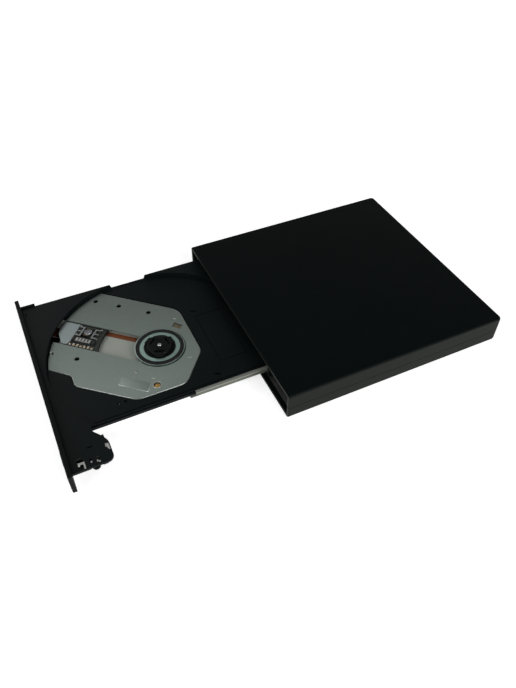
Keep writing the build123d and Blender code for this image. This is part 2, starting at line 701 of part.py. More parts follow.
def case_hull():
    """The whole case before it is split: drawn long, cut off square at its mouth and hollowed."""
    start = -CASE_CORNER_R - CUT
    body = soft_block(-HALF_WIDTH, HALF_WIDTH, start, CASE_DEPTH, 0, CASE_HEIGHT, CASE_CORNER_R)
    body = fillet(top_edges(body), CASE_LONG_EDGE_R)
    body = fillet(low_edges(body), CASE_LONG_EDGE_R)
    body -= block(-HALF_WIDTH - CUT, HALF_WIDTH + CUT, start - CUT, 0, -CUT, CASE_HEIGHT + CUT)
    body -= block(-INNER_HALF, INNER_HALF, -CUT, INNER_BACK, CASE_WALL, INNER_TOP)
    return chamfer(front_edges(body), MOUTH_EDGE)


def socket_cuts():
    """The cut-outs in the back wall for the two sockets."""
    half = USB_WIDTH / 2 + SOCKET_PLAY
    rise = USB_HEIGHT / 2 + SOCKET_PLAY
    y0, y1 = INNER_BACK - CUT, CASE_DEPTH + CUT
    usb = block(USB_X - half, USB_X + half, y0, y1, USB_MID_Z - rise, USB_MID_Z + rise)
    return usb + rod_y(JACK_X, JACK_MID_Z, y0, y1, JACK_SIDE / 2 - JACK_NECK + PLUG_WINDOW_PLAY)


def seam_lip(grow):
    """The tongue that stands inside the seam; grow widens it into its rebate."""
    outer = INNER_HALF + SEAM_LIP + grow
    back = INNER_BACK + SEAM_LIP + grow
    lip = block(-outer, outer, SEAM_LIP_START, back, SEAM_Z - SEAM_LIP_ROOT, SEAM_Z + SEAM_LIP_HEIGHT)
    return lip - block(-INNER_HALF, INNER_HALF, -CUT, INNER_BACK, 0, CASE_HEIGHT)


def top_shell():
    body = case_hull()
    body -= block(-HALF_WIDTH, HALF_WIDTH, -CUT, CASE_DEPTH + CUT, -CUT, SEAM_Z + SEAM_GAP / 2)
    body -= seam_lip(SEAM_LIP_PLAY)
    for x, y in CASE_SCREW_SPOTS:
        body += post(x, y, BOSS_SPLIT_Z, INNER_TOP, CASE_BOSS_R)
        body -= post(x, y, BOSS_SPLIT_Z - CUT, INNER_TOP - BOSS_ROOF, SCREW_SHANK_R)
    return body - socket_cuts()


def bottom_shell():
    body = case_hull()
    body -= block(-HALF_WIDTH, HALF_WIDTH, -CUT, CASE_DEPTH + CUT, SEAM_Z - SEAM_GAP / 2, CASE_HEIGHT + CUT)
    body += seam_lip(0)
    hole_r = SCREW_SHANK_R + SCREW_HOLE_PLAY
    head_r = SCREW_HEAD_R + SCREW_HOLE_PLAY
    for x, y in CASE_SCREW_SPOTS:
        body += post(x, y, CASE_WALL, BOSS_SPLIT_Z, CASE_BOSS_R)
        body -= post(x, y, -CUT, BOSS_SPLIT_Z + CUT, hole_r)
        body -= post(x, y, -CUT, SCREW_HEAD_H + CASE_SCREW_SUNK, head_r)
    for x, y in DRIVE_SCREW_SPOTS:
        body += post(x, y, CASE_WALL / 2, DRIVE_Z, DRIVE_POST_R)
        body -= post(x, y, -CUT, DRIVE_Z + CUT, hole_r)
        body -= post(x, y, -CUT, SCREW_HEAD_H + DRIVE_SCREW_SUNK, head_r)
    for x in (BRIDGE_X[0] + BRIDGE_POST_INSET, BRIDGE_X[1] - BRIDGE_POST_INSET):
        for y in (BRIDGE_Y[0] + BRIDGE_POST_INSET, BRIDGE_Y[1] - BRIDGE_POST_INSET):
            body += post(x, y, CASE_WALL, BRIDGE_Z, BRIDGE_POST_R)
    for x, y in FOOT_SPOTS:
        body -= post(x, y, -CUT, FOOT_SUNK, FOOT_R + SCREW_HOLE_PLAY)
    return body - socket_cuts()


def rubber_feet():
    feet = [post(x, y, -FOOT_PROUD, FOOT_SUNK, FOOT_R) for x, y in FOOT_SPOTS]
    return [chamfer(low_edges(foot), FOOT_EDGE) for foot in feet]


def case_screws():
    return [screw(x, y, CASE_SCREW_SUNK, BOSS_SPLIT_Z + CASE_SCREW_BITE) for x, y in CASE_SCREW_SPOTS]


def drive_screws():
    return [screw(x, y, DRIVE_SCREW_SUNK, PAN_FLOOR_Z) for x, y in DRIVE_SCREW_SPOTS]


def pan_outline(half, front, back, notch_x, notch_back):
    """The housing's plan with its notch at the right rear."""
    return [(-half, front), (half, front), (half, notch_back), (notch_x, notch_back), (notch_x, back),
            (-half, back)]


def cover_lug(x):
    """A folded lug under a cover screw, which stands on the pan's rear wall."""
    lug = block(x - COVER_LUG_HALF, x + COVER_LUG_HALF, COVER_SCREW_Y - COVER_LUG_HALF, DRIVE_BACK - SHEET,
                COVER_UNDER_Z - COVER_LUG_THICK, COVER_UNDER_Z)
    return lug - post(x, COVER_SCREW_Y, COVER_UNDER_Z - CUT, COVER_UNDER_Z + CUT, COVER_SCREW_R)


def drive_chassis():
    plan = pan_outline(PAN_HALF, DRIVE_FRONT, DRIVE_BACK, NOTCH_X, NOTCH_BACK)
    room = pan_outline(PAN_INNER, DRIVE_FRONT - CUT, DRIVE_BACK - SHEET, NOTCH_X - SHEET, NOTCH_BACK - SHEET)
    body = outline(plan, DRIVE_Z, COVER_UNDER_Z) - outline(room, PAN_FLOOR_Z, COVER_UNDER_Z + CUT)
    body -= block(PLUG_X[0] + PLUG_WINDOW_INSET, PLUG_X[1] - PLUG_WINDOW_INSET, NOTCH_BACK - SHEET - CUT,
                  NOTCH_BACK + CUT, BRIDGE_TOP_Z - PLUG_WINDOW_PLAY, PLUG_TOP_Z + PLUG_WINDOW_PLAY)
    for x, y in DRIVE_SCREW_SPOTS:
        body -= post(x, y, DRIVE_Z - CUT, PAN_FLOOR_Z + CUT, SCREW_SHANK_R)
    for x in EMBOSS_X:
        for y in EMBOSS_Y:
            body -= soft_block(x - EMBOSS_HALF_X, x + EMBOSS_HALF_X, y - EMBOSS_HALF_Y, y + EMBOSS_HALF_Y,
                               DRIVE_Z - CUT, DRIVE_Z + SHEET / 2, EMBOSS_CORNER_R)
    for x in COVER_SCREW_X:
        body += cover_lug(x)
    return body


def drive_top_cover():
    plan = pan_outline(DRIVE_HALF, DRIVE_FRONT, DRIVE_BACK + SHEET, NOTCH_X + SHEET, NOTCH_BACK + SHEET)
    top = outline(plan, COVER_UNDER_Z, DRIVE_TOP)
    low = COVER_UNDER_Z - COVER_FLANGE
    left = COVER_FLANGE_INSET - DRIVE_HALF
    top += block(-DRIVE_HALF, -PAN_HALF, DRIVE_FRONT, NOTCH_BACK, low, COVER_UNDER_Z)
    top += block(PAN_HALF, DRIVE_HALF, DRIVE_FRONT, NOTCH_BACK, low, COVER_UNDER_Z)
    top += block(left, NOTCH_X, DRIVE_BACK, DRIVE_BACK + SHEET, low, COVER_UNDER_Z)
    for x in COVER_SCREW_X:
        top -= post(x, COVER_SCREW_Y, COVER_UNDER_Z - CUT, DRIVE_TOP + CUT, COVER_SCREW_R + COVER_SCREW_PLAY)
    return top


def cover_screws():
    """Flat screws that hold the cover to the lugs on the pan's rear wall."""
    return [screw(x, COVER_SCREW_Y, DRIVE_TOP + COVER_SCREW_HEAD_H, COVER_UNDER_Z - COVER_SCREW_REACH,
                  COVER_SCREW_HEAD_R, COVER_SCREW_R, COVER_SCREW_HEAD_H) for x in COVER_SCREW_X]


def rail(x, half, z, height, step):
    """One sliding rail of H section, whose upper flange and web start a step behind the lower one."""
    y0, y1 = RAIL_FRONT, RAIL_FRONT + RAIL_LENGTH
    body = block(x - half, x + half, y0, y1, z, z + RAIL_FLANGE)
    body += block(x - RAIL_WEB / 2, x + RAIL_WEB / 2, y0 + step, y1, z, z + height)
    return body + block(x - half, x + half, y0 + step, y1, z + height - RAIL_FLANGE, z + height)


def slide_rail_right():
    return rail(RIGHT_RAIL_X, RIGHT_RAIL_HALF, RIGHT_RAIL_Z, RIGHT_RAIL_HEIGHT, RAIL_STEP)


def slide_rail_left():
    return rail(LEFT_RAIL_X, LEFT_RAIL_HALF, LEFT_RAIL_Z, LEFT_RAIL_HEIGHT, 0)


def groove_room(z, height):
    """The height range that a tongue may take inside a rail."""
    return z + RAIL_FLANGE + TONGUE_PLAY_Z, z + height - RAIL_FLANGE - TONGUE_PLAY_Z


def rail_guide_right():
    z0, z1 = groove_room(RIGHT_RAIL_Z, RIGHT_RAIL_HEIGHT)
    top = RIGHT_RAIL_Z + RIGHT_RAIL_HEIGHT
    tip = RIGHT_RAIL_X + RAIL_WEB / 2 + TONGUE_PLAY_X
    body = block(tip, GUIDE_X, GUIDE_FRONT, GUIDE_BACK, z0, z1)
    body += block(GUIDE_X, GUIDE_END_X, GUIDE_FRONT, GUIDE_BACK, PAN_FLOOR_Z, top)
    return body - block(GUIDE_X - CUT, GUIDE_END_X + CUT, RIBBON_FRONT - RIBBON_SIDE_PLAY,
                        RIBBON_BACK + RIBBON_SIDE_PLAY, DRIVE_Z, PAN_FLOOR_Z + RIBBON_ROOM)


def rail_guide_left():
    z0, z1 = groove_room(LEFT_RAIL_Z, LEFT_RAIL_HEIGHT)
    tip = LEFT_RAIL_X - RAIL_WEB / 2 - TONGUE_PLAY_X
    return block(-PAN_INNER, tip, GUIDE_FRONT, GUIDE_BACK, z0, z1)


def main_board():
    """The drive's own circuit board on four stand-offs."""
    x0, x1 = MAIN_BOARD_X
    y0, y1 = MAIN_BOARD_Y
    body = block(x0, x1, y0, y1, MAIN_BOARD_Z, MAIN_BOARD_TOP_Z)
    for x in (x0 + BOARD_POST_INSET_X, x1 - BOARD_POST_INSET_X):
        for y in (y0 + BOARD_POST_INSET_Y, y1 - BOARD_POST_INSET_Y):
            body += post(x, y, PAN_FLOOR_Z, MAIN_BOARD_Z, BOARD_POST_R)
    return body


def main_chips():
    """Chips along the board's middle, each counted forward from the board's rear edge."""
    mid = sum(MAIN_BOARD_X) / 2
    chips = []
    for gap, length, half, height in MAIN_CHIPS:
        back = MAIN_BOARD_Y[1] - gap
        chips.append(soft_block(mid - half, mid + half, back - length, back, MAIN_BOARD_TOP_Z,
                                MAIN_BOARD_TOP_Z + height, CHIP_CORNER_R))
    return chips


def drive_connector():
    x0, x1 = PLUG_X[0] + PLUG_INSET, PLUG_X[1] - PLUG_INSET
    body = block(x0, x1, NOTCH_BACK - PLUG_FRONT, BRIDGE_Y[0] - PLUG_MEET, BRIDGE_TOP_Z, PLUG_TOP_Z)
    return body + block(PLUG_X[0] + PLUG_TAIL_INSET, PLUG_X[1] - PLUG_TAIL_INSET, NOTCH_BACK - PLUG_TAIL,
                        NOTCH_BACK - PLUG_FRONT, MAIN_BOARD_TOP_Z, PLUG_TOP_Z - PLUG_TAIL_DROP)


def tray_ribbon():
    """The flat cable's lower run, which lies on the pan's floor."""
    x1 = RIBBON_X + RIBBON_WIDTH
    z0, z1 = PAN_FLOOR_Z, PAN_FLOOR_Z + RIBBON_THICK
    body = block(RIBBON_X, x1, TRAY_BACK + TRAY_BACK_CLEAR, RIBBON_BACK, z0, z1)
    return body + block(x1, MAIN_BOARD_X[0] + RIBBON_UNDER_BOARD, RIBBON_FRONT, RIBBON_BACK, z0, z1)


def latch_catch():
    """The post on the housing's wall that the latch lever holds on to."""
    edge = LATCH_NOSE_X + LATCH_NOSE_R + CATCH_GAP
    back = LATCH_NOSE_Y + TRAVEL - CATCH_BEHIND_NOSE
    return block(edge, PAN_INNER, back - CATCH_THICK, back, PAN_FLOOR_Z, LATCH_TOP_Z)


def ejector_housing():
    """The tube that holds the pusher's spring, on an arm from the pan's side wall."""
    front, back = EJECTOR_Y
    side = PUSHER_COLLAR_R + EJECTOR_SIDE
    body = block(PUSHER_X - side, PUSHER_X + side, front, back, PUSHER_Z - side, PUSHER_Z + side)
    body += block(PUSHER_X + side, PAN_INNER, front + EJECTOR_ARM_INSET, back - EJECTOR_ARM_INSET,
                  PUSHER_Z - side, PUSHER_Z - side + EJECTOR_ARM_THICK)
    body -= rod_y(PUSHER_X, PUSHER_Z, front + EJECTOR_WALL, back - EJECTOR_WALL,
                  PUSHER_COLLAR_R + EJECTOR_BORE_PLAY)
    return body - rod_y(PUSHER_X, PUSHER_Z, front - CUT, front + EJECTOR_WALL + CUT, PUSHER_R + PUSHER_PLAY)


def ejector_pusher():
    body = rod_y(PUSHER_X, PUSHER_Z, PUSHER_TIP, COLLAR_BACK + PUSHER_TAIL, PUSHER_R)
    body = fillet(front_edges(body), PUSHER_TIP_R)
    return body + rod_y(PUSHER_X, PUSHER_Z, COLLAR_Y, COLLAR_BACK, PUSHER_COLLAR_R)


def ejector_spring():
    """The pressed spring, as a sleeve of its own outer and inner size behind the pusher's collar."""
    y0 = COLLAR_BACK + PUSHER_STROKE + SPRING_GAP
    y1 = EJECTOR_Y[1] - EJECTOR_WALL
    body = rod_y(PUSHER_X, PUSHER_Z, y0, y1, PUSHER_COLLAR_R)
    return body - rod_y(PUSHER_X, PUSHER_Z, y0 - CUT, y1 + CUT, PUSHER_COLLAR_R - SPRING_WIRE)


def bridge_board():
    return block(BRIDGE_X[0], BRIDGE_X[1], BRIDGE_Y[0], BRIDGE_Y[1], BRIDGE_Z, BRIDGE_TOP_Z)


def bridge_chip():
    x = USB_X - BRIDGE_CHIP_LEFT
    y = BRIDGE_Y[0] + BRIDGE_CHIP_FRONT
    return soft_block(x - BRIDGE_CHIP_HALF, x + BRIDGE_CHIP_HALF, y, y + BRIDGE_CHIP_DEPTH, BRIDGE_TOP_Z,
                      BRIDGE_TOP_Z + BRIDGE_CHIP_HEIGHT, CHIP_CORNER_R)


def bridge_connector():
    return block(PLUG_X[0], PLUG_X[1], BRIDGE_Y[0] - PLUG_MEET, BRIDGE_Y[0] + PLUG_DEPTH, BRIDGE_TOP_Z,
                 PLUG_TOP_Z)


def usb_socket():
    """The metal shell of the data socket with its tongue."""
    y0 = SOCKET_BACK - USB_DEPTH
    x0, x1 = USB_X - USB_WIDTH / 2, USB_X + USB_WIDTH / 2
    z0, z1 = BRIDGE_TOP_Z, BRIDGE_TOP_Z + USB_HEIGHT
    body = block(x0, x1, y0, SOCKET_BACK, z0, z1)
    body -= block(x0 + USB_SKIN, x1 - USB_SKIN, y0 + USB_BACK_WALL, SOCKET_BACK + CUT, z0 + USB_SKIN,
                  z1 - USB_SKIN)
    return body + block(x0 + USB_TONGUE_INSET, x1 - USB_TONGUE_INSET, y0 + USB_TONGUE_ROOT,
                        SOCKET_BACK - USB_TONGUE_SHORT, USB_MID_Z - USB_TONGUE_HALF,
                        USB_MID_Z + USB_TONGUE_HALF)


def power_jack():
    half = JACK_SIDE / 2
    neck = INNER_BACK - SOCKET_WALL_GAP
    body = block(JACK_X - half, JACK_X + half, SOCKET_BACK - JACK_DEPTH, neck, BRIDGE_TOP_Z,
                 BRIDGE_TOP_Z + JACK_SIDE)
    body += rod_y(JACK_X, JACK_MID_Z, neck, SOCKET_BACK, half - JACK_NECK)
    body -= rod_y(JACK_X, JACK_MID_Z, SOCKET_BACK - JACK_HOLE_DEPTH, SOCKET_BACK + CUT, JACK_HOLE_R)
    return body + rod_y(JACK_X, JACK_MID_Z, SOCKET_BACK - JACK_PIN_START, SOCKET_BACK - JACK_PIN_SHORT,
                        JACK_PIN_R)


def seat_cut():
    """The disc's seat: a dish with a sloped wall, a narrow raised band and a flat floor."""
    low_r = SEAT_R - SEAT_SLOPE
    band_z = SEAT_Z + BAND_RISE
    wall = Cone(low_r, SEAT_R, TRAY_TOP_Z - band_z, align=(Align.CENTER, Align.CENTER, Align.MIN))
    body = Pos(SPINDLE_X, SPINDLE_Y, band_z) * wall
    body += spindle_post(TRAY_TOP_Z, TRAY_TOP_Z + CORNER_WALL_RISE + CUT, SEAT_R)
    return body + spindle_post(SEAT_Z, band_z + BAND_RISE, low_r - BAND_WIDTH)


def cover_plan(grow):
    """The traverse cover's plan, trimmed round where it meets the seat's wall; grow widens it."""
    face = make_face(Polyline(*[(x, y) for x, y, r in COVER_CORNERS], close=True))
    for x, y, r in COVER_CORNERS:
        if r:
            corner = face.vertices().sort_by(lambda vertex: hypot(vertex.X - x, vertex.Y - y))[0]
            face = fillet([corner], r)
    if grow:
        face = offset(face, grow)
    trimmed = face & Circle(COVER_TRIM_R + grow)
    return Pos(SPINDLE_X, SPINDLE_Y) * trimmed.faces()[0]


def traverse_cover():
    body = Pos(0, 0, COVER_Z) * extrude(cover_plan(0), COVER_THICK)
    body = chamfer(top_edges(body), COVER_EDGE)
    z0, z1 = COVER_Z - CUT, COVER_TOP_Z + CUT
    body -= slot_block(0, COVER_TRIM_R + CUT, SLOT_SIDE_NEAR, SLOT_SIDE_FAR, z0, z1)
    body -= spindle_post(z0, z1, TABLE_HOLE_R)
    for x, y in PLATE_HOLES:
        body -= post(SPINDLE_X + x, SPINDLE_Y + y, z0, z1, PLATE_HOLE_R)
    body -= post(*DAMPER_SPOTS[0], z0, z1, EYELET_R)
    x, y = WINDOW_SPOT
    window = Pos(SPINDLE_X + x, SPINDLE_Y + y, z0) * Rot(0, 0, WINDOW_ANGLE) * Rectangle(WINDOW_LENGTH,
                                                                                         WINDOW_WIDTH)
    return body - extrude(window, z1 - z0)


def traverse_base():
    """The frame under the cover: a floor with a rim wall, open towards the pickup's way out."""
    inner = cover_plan(-FRAME_INSET)
    room = cover_plan(-FRAME_INSET - FRAME_WALL)
    over = COVER_Z + CUT
    body = Pos(0, 0, FRAME_Z) * extrude(inner, COVER_Z - FRAME_Z)
    body -= Pos(0, 0, FRAME_TOP_Z) * extrude(room, COVER_Z)
    side = SLED_FAR + RAIL_SIDE_PLAY
    near = SLED_NEAR - RAIL_SIDE_PLAY
    body += slot_block(LENS_OUT, ROD_END + FRAME_TIP, near, side, FRAME_Z, FRAME_TOP_Z)
    left = LEFT_RAIL_X + LEFT_RAIL_HALF + SKIRT + FRAME_SIDE_CLEAR
    body -= block(TRAY_LEFT - CUT, left, SPINDLE_Y - SEAT_R, SPINDLE_Y + SEAT_R, FRAME_Z - CUT, over)
    body -= slot_block(LENS_OUT - FRAME_TIP, SEAT_R + CUT, near, side, FRAME_TOP_Z, over)
    for start, across in ROD_RUNS:
        for out in (start + ROD_POST_INSET, ROD_END - ROD_POST_INSET):
            body += post(*at(out, across), FRAME_Z + FRAME_FLOOR / 2, ROD_Z + ROD_POST_RISE, ROD_POST_R)
    for start, across in ROD_RUNS:
        body -= slot_rod(start, ROD_END, across, ROD_Z, ROD_R)
    x, y = at(SCREW_END - SCREW_POST_INSET, SCREW_ACROSS)
    body += post(x, y, FRAME_Z + FRAME_FLOOR / 2, ROD_Z + SCREW_POST_RISE, SCREW_POST_R)
    body -= slot_rod(SCREW_START, SCREW_END + CUT, SCREW_ACROSS, ROD_Z, SCREW_R + SCREW_BORE_PLAY)
    body -= spindle_post(FRAME_TOP_Z, over, MOTOR_R + MOTOR_ROOM)
    for x, y in DAMPER_SPOTS:
        body -= post(x, y, FRAME_Z - CUT, over, DAMPER_R + DAMPER_PLAY)
    return body


def guide_rods():
    return [slot_rod(start, ROD_END, across, ROD_Z, ROD_R) for start, across in ROD_RUNS]


def lead_screw():
    return slot_rod(SCREW_START, SCREW_END, SCREW_ACROSS, ROD_Z, SCREW_R)


def sled_motor():
    """The flat stepper motor at the lead screw's inner end."""
    out1 = SCREW_START - STEPPER_GAP
    body = slot_block(out1 - STEPPER_LENGTH, out1, SCREW_ACROSS - STEPPER_NEAR, SCREW_ACROSS + STEPPER_FAR,
                      FRAME_TOP_Z, COVER_Z - STEPPER_ROOF_GAP)
    return fillet(body.edges().filter_by(Axis.Z), STEPPER_CORNER_R)


def rubber_dampers():
    dampers = []
    for x, y in DAMPER_SPOTS:
        body = post(x, y, DAMPER_PAD_Z, COVER_Z - DAMPER_ROOF_GAP, DAMPER_R)
        dampers.append(body - post(x, y, DAMPER_PAD_Z - CUT, COVER_Z, SCREW_SHANK_R))
    return dampers


def traverse_screws():
    return [screw(x, y, COVER_Z - DAMPER_SCREW_SUNK, DAMPER_PAD_Z - DAMPER_SCREW_REACH, DAMPER_SCREW_HEAD_R,
                  SCREW_SHANK_R, DAMPER_SCREW_HEAD_H) for x, y in DAMPER_SPOTS]


def tray_shield():
    """The thin sheet that closes the tray's underside below the traverse."""
    body = block(SHIELD_LEFT, SHIELD_RIGHT, SHIELD_FRONT, SHIELD_BACK, SHIELD_Z, SHIELD_TOP_Z)
    for x, y in SHIELD_SCREW_SPOTS:
        body -= post(x, y, SHIELD_Z - CUT, SHIELD_TOP_Z + CUT, SHIELD_SCREW_R)
    return body


def shield_screws():
    return [screw(x, y, SHIELD_Z - SHIELD_SCREW_HEAD_H, SHIELD_Z + SHIELD_SCREW_REACH, SHIELD_SCREW_HEAD_R,
                  SHIELD_SCREW_R, SHIELD_SCREW_HEAD_H) for x, y in SHIELD_SCREW_SPOTS]


def lobe_plan():
    """The plan of the lobe at the tray's right front."""
    root = TRAY_RIGHT - RIM_WIDTH
    corner_y = LOBE_BACK - LOBE_CORNER_R
    with BuildSketch() as plan:
        with BuildLine():
            start = Line((root, NECK_BACK), (NECK_X, NECK_BACK))
            swell = Spline(start @ 1, *[(NECK_X + x, LOBE_BACK + y) for x, y in LOBE_SWELL])
            back = Line(swell @ 1, (LOBE_RIGHT - LOBE_CORNER_R, LOBE_BACK))
            corner = RadiusArc(back @ 1, (LOBE_RIGHT, corner_y), LOBE_CORNER_R)
            Polyline(corner @ 1, (LOBE_RIGHT, TRAY_FRONT), (root, TRAY_FRONT), start @ 0)
        make_face()
    return plan.sketch


def tray():
    body = block(TRAY_LEFT, TRAY_RIGHT, TRAY_FRONT, TRAY_BACK, TRAY_UNDER_Z, TRAY_TOP_Z)
    body += block(TRAY_LEFT - CORNER_WALL, TRAY_LEFT, TRAY_FRONT, TRAY_FRONT + CORNER_WALL_LENGTH,
                  TRAY_UNDER_Z + CORNER_WALL_DROP, TRAY_TOP_Z + CORNER_WALL_RISE)
    body += Pos(0, 0, LOBE_UNDER_Z) * extrude(lobe_plan(), DECK_SKIN)
    body += lobe_walls()
    body -= seat_cut()
    body = edge_rim(body)
    body -= Pos(0, 0, TRAY_UNDER_Z - CUT) * extrude(cover_plan(COVER_EDGE_GAP), TRAY_TOP_Z)
    body -= pickup_pocket()
    body += skirts() + tongues() + damper_pads()
    for left, right, front, back in LOBE_HOLES:
        body -= lobe_block(left, right, front, back, LOBE_UNDER_Z - CUT, TRAY_TOP_Z + CUT)
    body += post(LATCH_PIVOT_X, LATCH_PIVOT_Y, LATCH_Z - LATCH_PIN_DROP, LOBE_UNDER_Z, LATCH_PIN_R)
    for left, back in LOBE_BOSSES:
        body += post(LOBE_RIGHT - left, TRAY_FRONT + back, LOBE_BOARD_TOP_Z, LOBE_UNDER_Z, LOBE_BOSS_R)
    return body - seat_marks()


def lobe_walls():
    """The low walls under the lobe's front and right edges, open where the latch's nose looks out."""
    low = LOBE_UNDER_Z - LOBE_WALL_DROP
    walls = block(GUIDE_END_X + LOBE_SKIRT_GAP, LOBE_RIGHT, TRAY_FRONT, TRAY_FRONT + SKIRT, low, TRAY_TOP_Z)
    nose_front = LATCH_NOSE_Y - LATCH_NOSE_R - POCKET_SIDE
    nose_back = LATCH_NOSE_Y + LATCH_NOSE_R + 2 * POCKET_SIDE
    for y0, y1 in ((TRAY_FRONT, nose_front), (nose_back, LOBE_BACK - LOBE_CORNER_R)):
        walls += block(LOBE_RIGHT - LOBE_WALL, LOBE_RIGHT, y0, y1, low, TRAY_TOP_Z)
    return walls


def edge_rim(body):
    """Adds the rim along the tray's open right edge and the groove inside it."""
    inner = TRAY_RIGHT - RIM_WIDTH
    front = SPINDLE_Y - sqrt(SEAT_R ** 2 - (inner - SPINDLE_X) ** 2) - LABEL_LINE
    body -= block(inner - GROOVE_WIDTH, inner, front + GROOVE_START, TRAY_BACK - CUT, SEAT_Z - GROOVE_DEPTH,
                  RIM_Z)
    return body + block(inner, TRAY_RIGHT, front, TRAY_BACK - CUT, TRAY_UNDER_Z, RIM_Z)


def seat_marks():
    """What is cut into the tray's upper side: slits, small holes, the label's outline and a mark."""
    z0, z1 = TRAY_UNDER_Z - CUT, SEAT_Z + CUT
    line_z = SEAT_Z - LABEL_LINE_DEPTH
    label = block(SPINDLE_X + LABEL_LEFT, SPINDLE_X + LABEL_RIGHT, SPINDLE_Y + LABEL_FRONT,
                  SPINDLE_Y + LABEL_BACK, line_z, z1)
    label -= block(SPINDLE_X + LABEL_LEFT + LABEL_LINE, SPINDLE_X + LABEL_RIGHT - LABEL_LINE,
                   SPINDLE_Y + LABEL_FRONT + LABEL_LINE, SPINDLE_Y + LABEL_BACK - LABEL_LINE, line_z, z1)
    marks = [label]
    for x, y in SEAT_SLITS:
        slit = Rot(0, 0, SLIT_ANGLE) * Box(SLIT_LENGTH, SLIT_WIDTH, z1 - z0)
        marks.append(Pos(SPINDLE_X + x, SPINDLE_Y + y, (z0 + z1) / 2) * slit)
    for x, y in SEAT_DOTS:
        marks.append(post(SPINDLE_X + x, SPINDLE_Y + y, z0, z1, SEAT_DOT_R))
    marks.append(block(TRAY_LEFT + MARK_X[0], TRAY_LEFT + MARK_X[1], TRAY_FRONT + MARK_Y[0],
                       TRAY_FRONT + MARK_Y[1], TRAY_TOP_Z - MARK_DEPTH, TRAY_TOP_Z + CUT))
    return marks


def pickup_pocket():
    """Room under the deck for the pickup at its outer limit."""
    far, near = SLED_FAR + POCKET_SIDE, SLOT_SIDE_NEAR - POCKET_SIDE
    tip = DISC_R + POCKET_PAST_DISC
    root = COVER_TRIM_R - POCKET_NECK
    side = far - 2 * POCKET_NECK
    points = [(root, side), (tip, side), (tip, -1), (tip - 1.2, -6), (tip - 6.6, near), (root, near)]
    return slot_outline(points, TRAY_UNDER_Z - CUT, LOBE_UNDER_Z)


def skirts():
    """The low walls under the tray that stiffen it and carry the shield."""
    right = TRAY_RIGHT - RIM_WIDTH - SKIRT
    left = LEFT_RAIL_X + LEFT_RAIL_HALF + RAIL_SIDE_PLAY
    wall_front = TRAY_FRONT + SKIRT
    tongue_z = groove_room(LEFT_RAIL_Z, LEFT_RAIL_HEIGHT)[0] - TONGUE_PLAY_Z / 2
    body = block(left, left + SKIRT, wall_front, TRAY_BACK, tongue_z, TRAY_UNDER_Z)
    body += block(right, TRAY_RIGHT - RIM_WIDTH / 3, wall_front, TRAY_BACK, SHIELD_TOP_Z + SKIRT_LIFT,
                  TRAY_UNDER_Z)
    body += block(left, TRAY_RIGHT - RIM_WIDTH, TRAY_FRONT, wall_front, SHIELD_TOP_Z, TRAY_UNDER_Z)
    for x, y in SHIELD_SCREW_SPOTS:
        lug = post(x, y, SHIELD_TOP_Z, TRAY_UNDER_Z, SHIELD_LUG_R)
        body += lug - post(x, y, SHIELD_Z, SHIELD_Z + SHIELD_SCREW_REACH, SHIELD_SCREW_R)
    return body


def tongues():
    """The tray's two edges that run in the sliding rails."""
    z0, z1 = groove_room(RIGHT_RAIL_Z, RIGHT_RAIL_HEIGHT)
    tip = RIGHT_RAIL_X - RAIL_WEB / 2 - TONGUE_PLAY_X
    root = RIGHT_RAIL_X - RIGHT_RAIL_HALF - RAIL_SIDE_PLAY
    front = NECK_BACK - NECK_TONGUE_LAP
    body = block(TRAY_RIGHT - RIM_WIDTH, tip, front, TRAY_BACK, z0, z1)
    body += block(TRAY_RIGHT - RIM_WIDTH - SKIRT, root, front, TRAY_BACK, z0, z1)
    z0, z1 = groove_room(LEFT_RAIL_Z, LEFT_RAIL_HEIGHT)
    tip = LEFT_RAIL_X + RAIL_WEB / 2 + TONGUE_PLAY_X
    root = LEFT_RAIL_X + LEFT_RAIL_HALF + RAIL_SIDE_PLAY + SKIRT
    return body + block(tip, root, TRAY_FRONT + TONGUE_START, TRAY_BACK, z0, z1)


def damper_pads():
    """Round pads on arms from the tray, on which the traverse's rubber dampers stand."""
    pads = None
    low, arm_top = SHIELD_TOP_Z, FRAME_Z - DAMPER_ARM_GAP
    for (x, y), (end_x, end_y) in zip(DAMPER_SPOTS, DAMPER_ARM_ENDS):
        pad = post(x, y, low, DAMPER_PAD_Z, DAMPER_R - DAMPER_PLAY)
        length, angle = hypot(end_x - x, end_y - y), degrees(atan2(end_y - y, end_x - x))
        bar = Box(length, DAMPER_ARM_WIDTH, arm_top - low, align=(Align.MIN, Align.CENTER, Align.MIN))
        pad += Pos(x, y, low) * Rot(0, 0, angle) * bar
        pad += block(end_x - DAMPER_ARM_FOOT, end_x + DAMPER_ARM_FOOT, end_y - DAMPER_ARM_FOOT,
                     end_y + DAMPER_ARM_FOOT, low, TRAY_UNDER_Z + TONGUE_PLAY_Z)
        pad -= post(x, y, low - CUT, DAMPER_PAD_Z + CUT, SCREW_SHANK_R)
        pads = pad if pads is None else pads + pad
    return pads


def bezel():
    body = block(-DRIVE_HALF, DRIVE_HALF, BEZEL_FRONT, TRAY_FRONT, BEZEL_Z, BEZEL_Z + BEZEL_HEIGHT)
    body = chamfer(front_edges(body), BEZEL_EDGE)
    y0, y1 = BEZEL_FRONT - CUT, TRAY_FRONT + CUT
    length, height = BUTTON_LENGTH + 2 * BUTTON_PLAY, BUTTON_HEIGHT + 2 * BUTTON_PLAY
    body -= slot_y(BUTTON_X, BUTTON_Z, length, height, y0, y1)
    body -= slot_y(LAMP_X, BUTTON_Z, LAMP_LENGTH, LAMP_HEIGHT, y0, y1)
    return body - rod_y(PINHOLE_X, BUTTON_Z, y0, y1, PINHOLE_R)


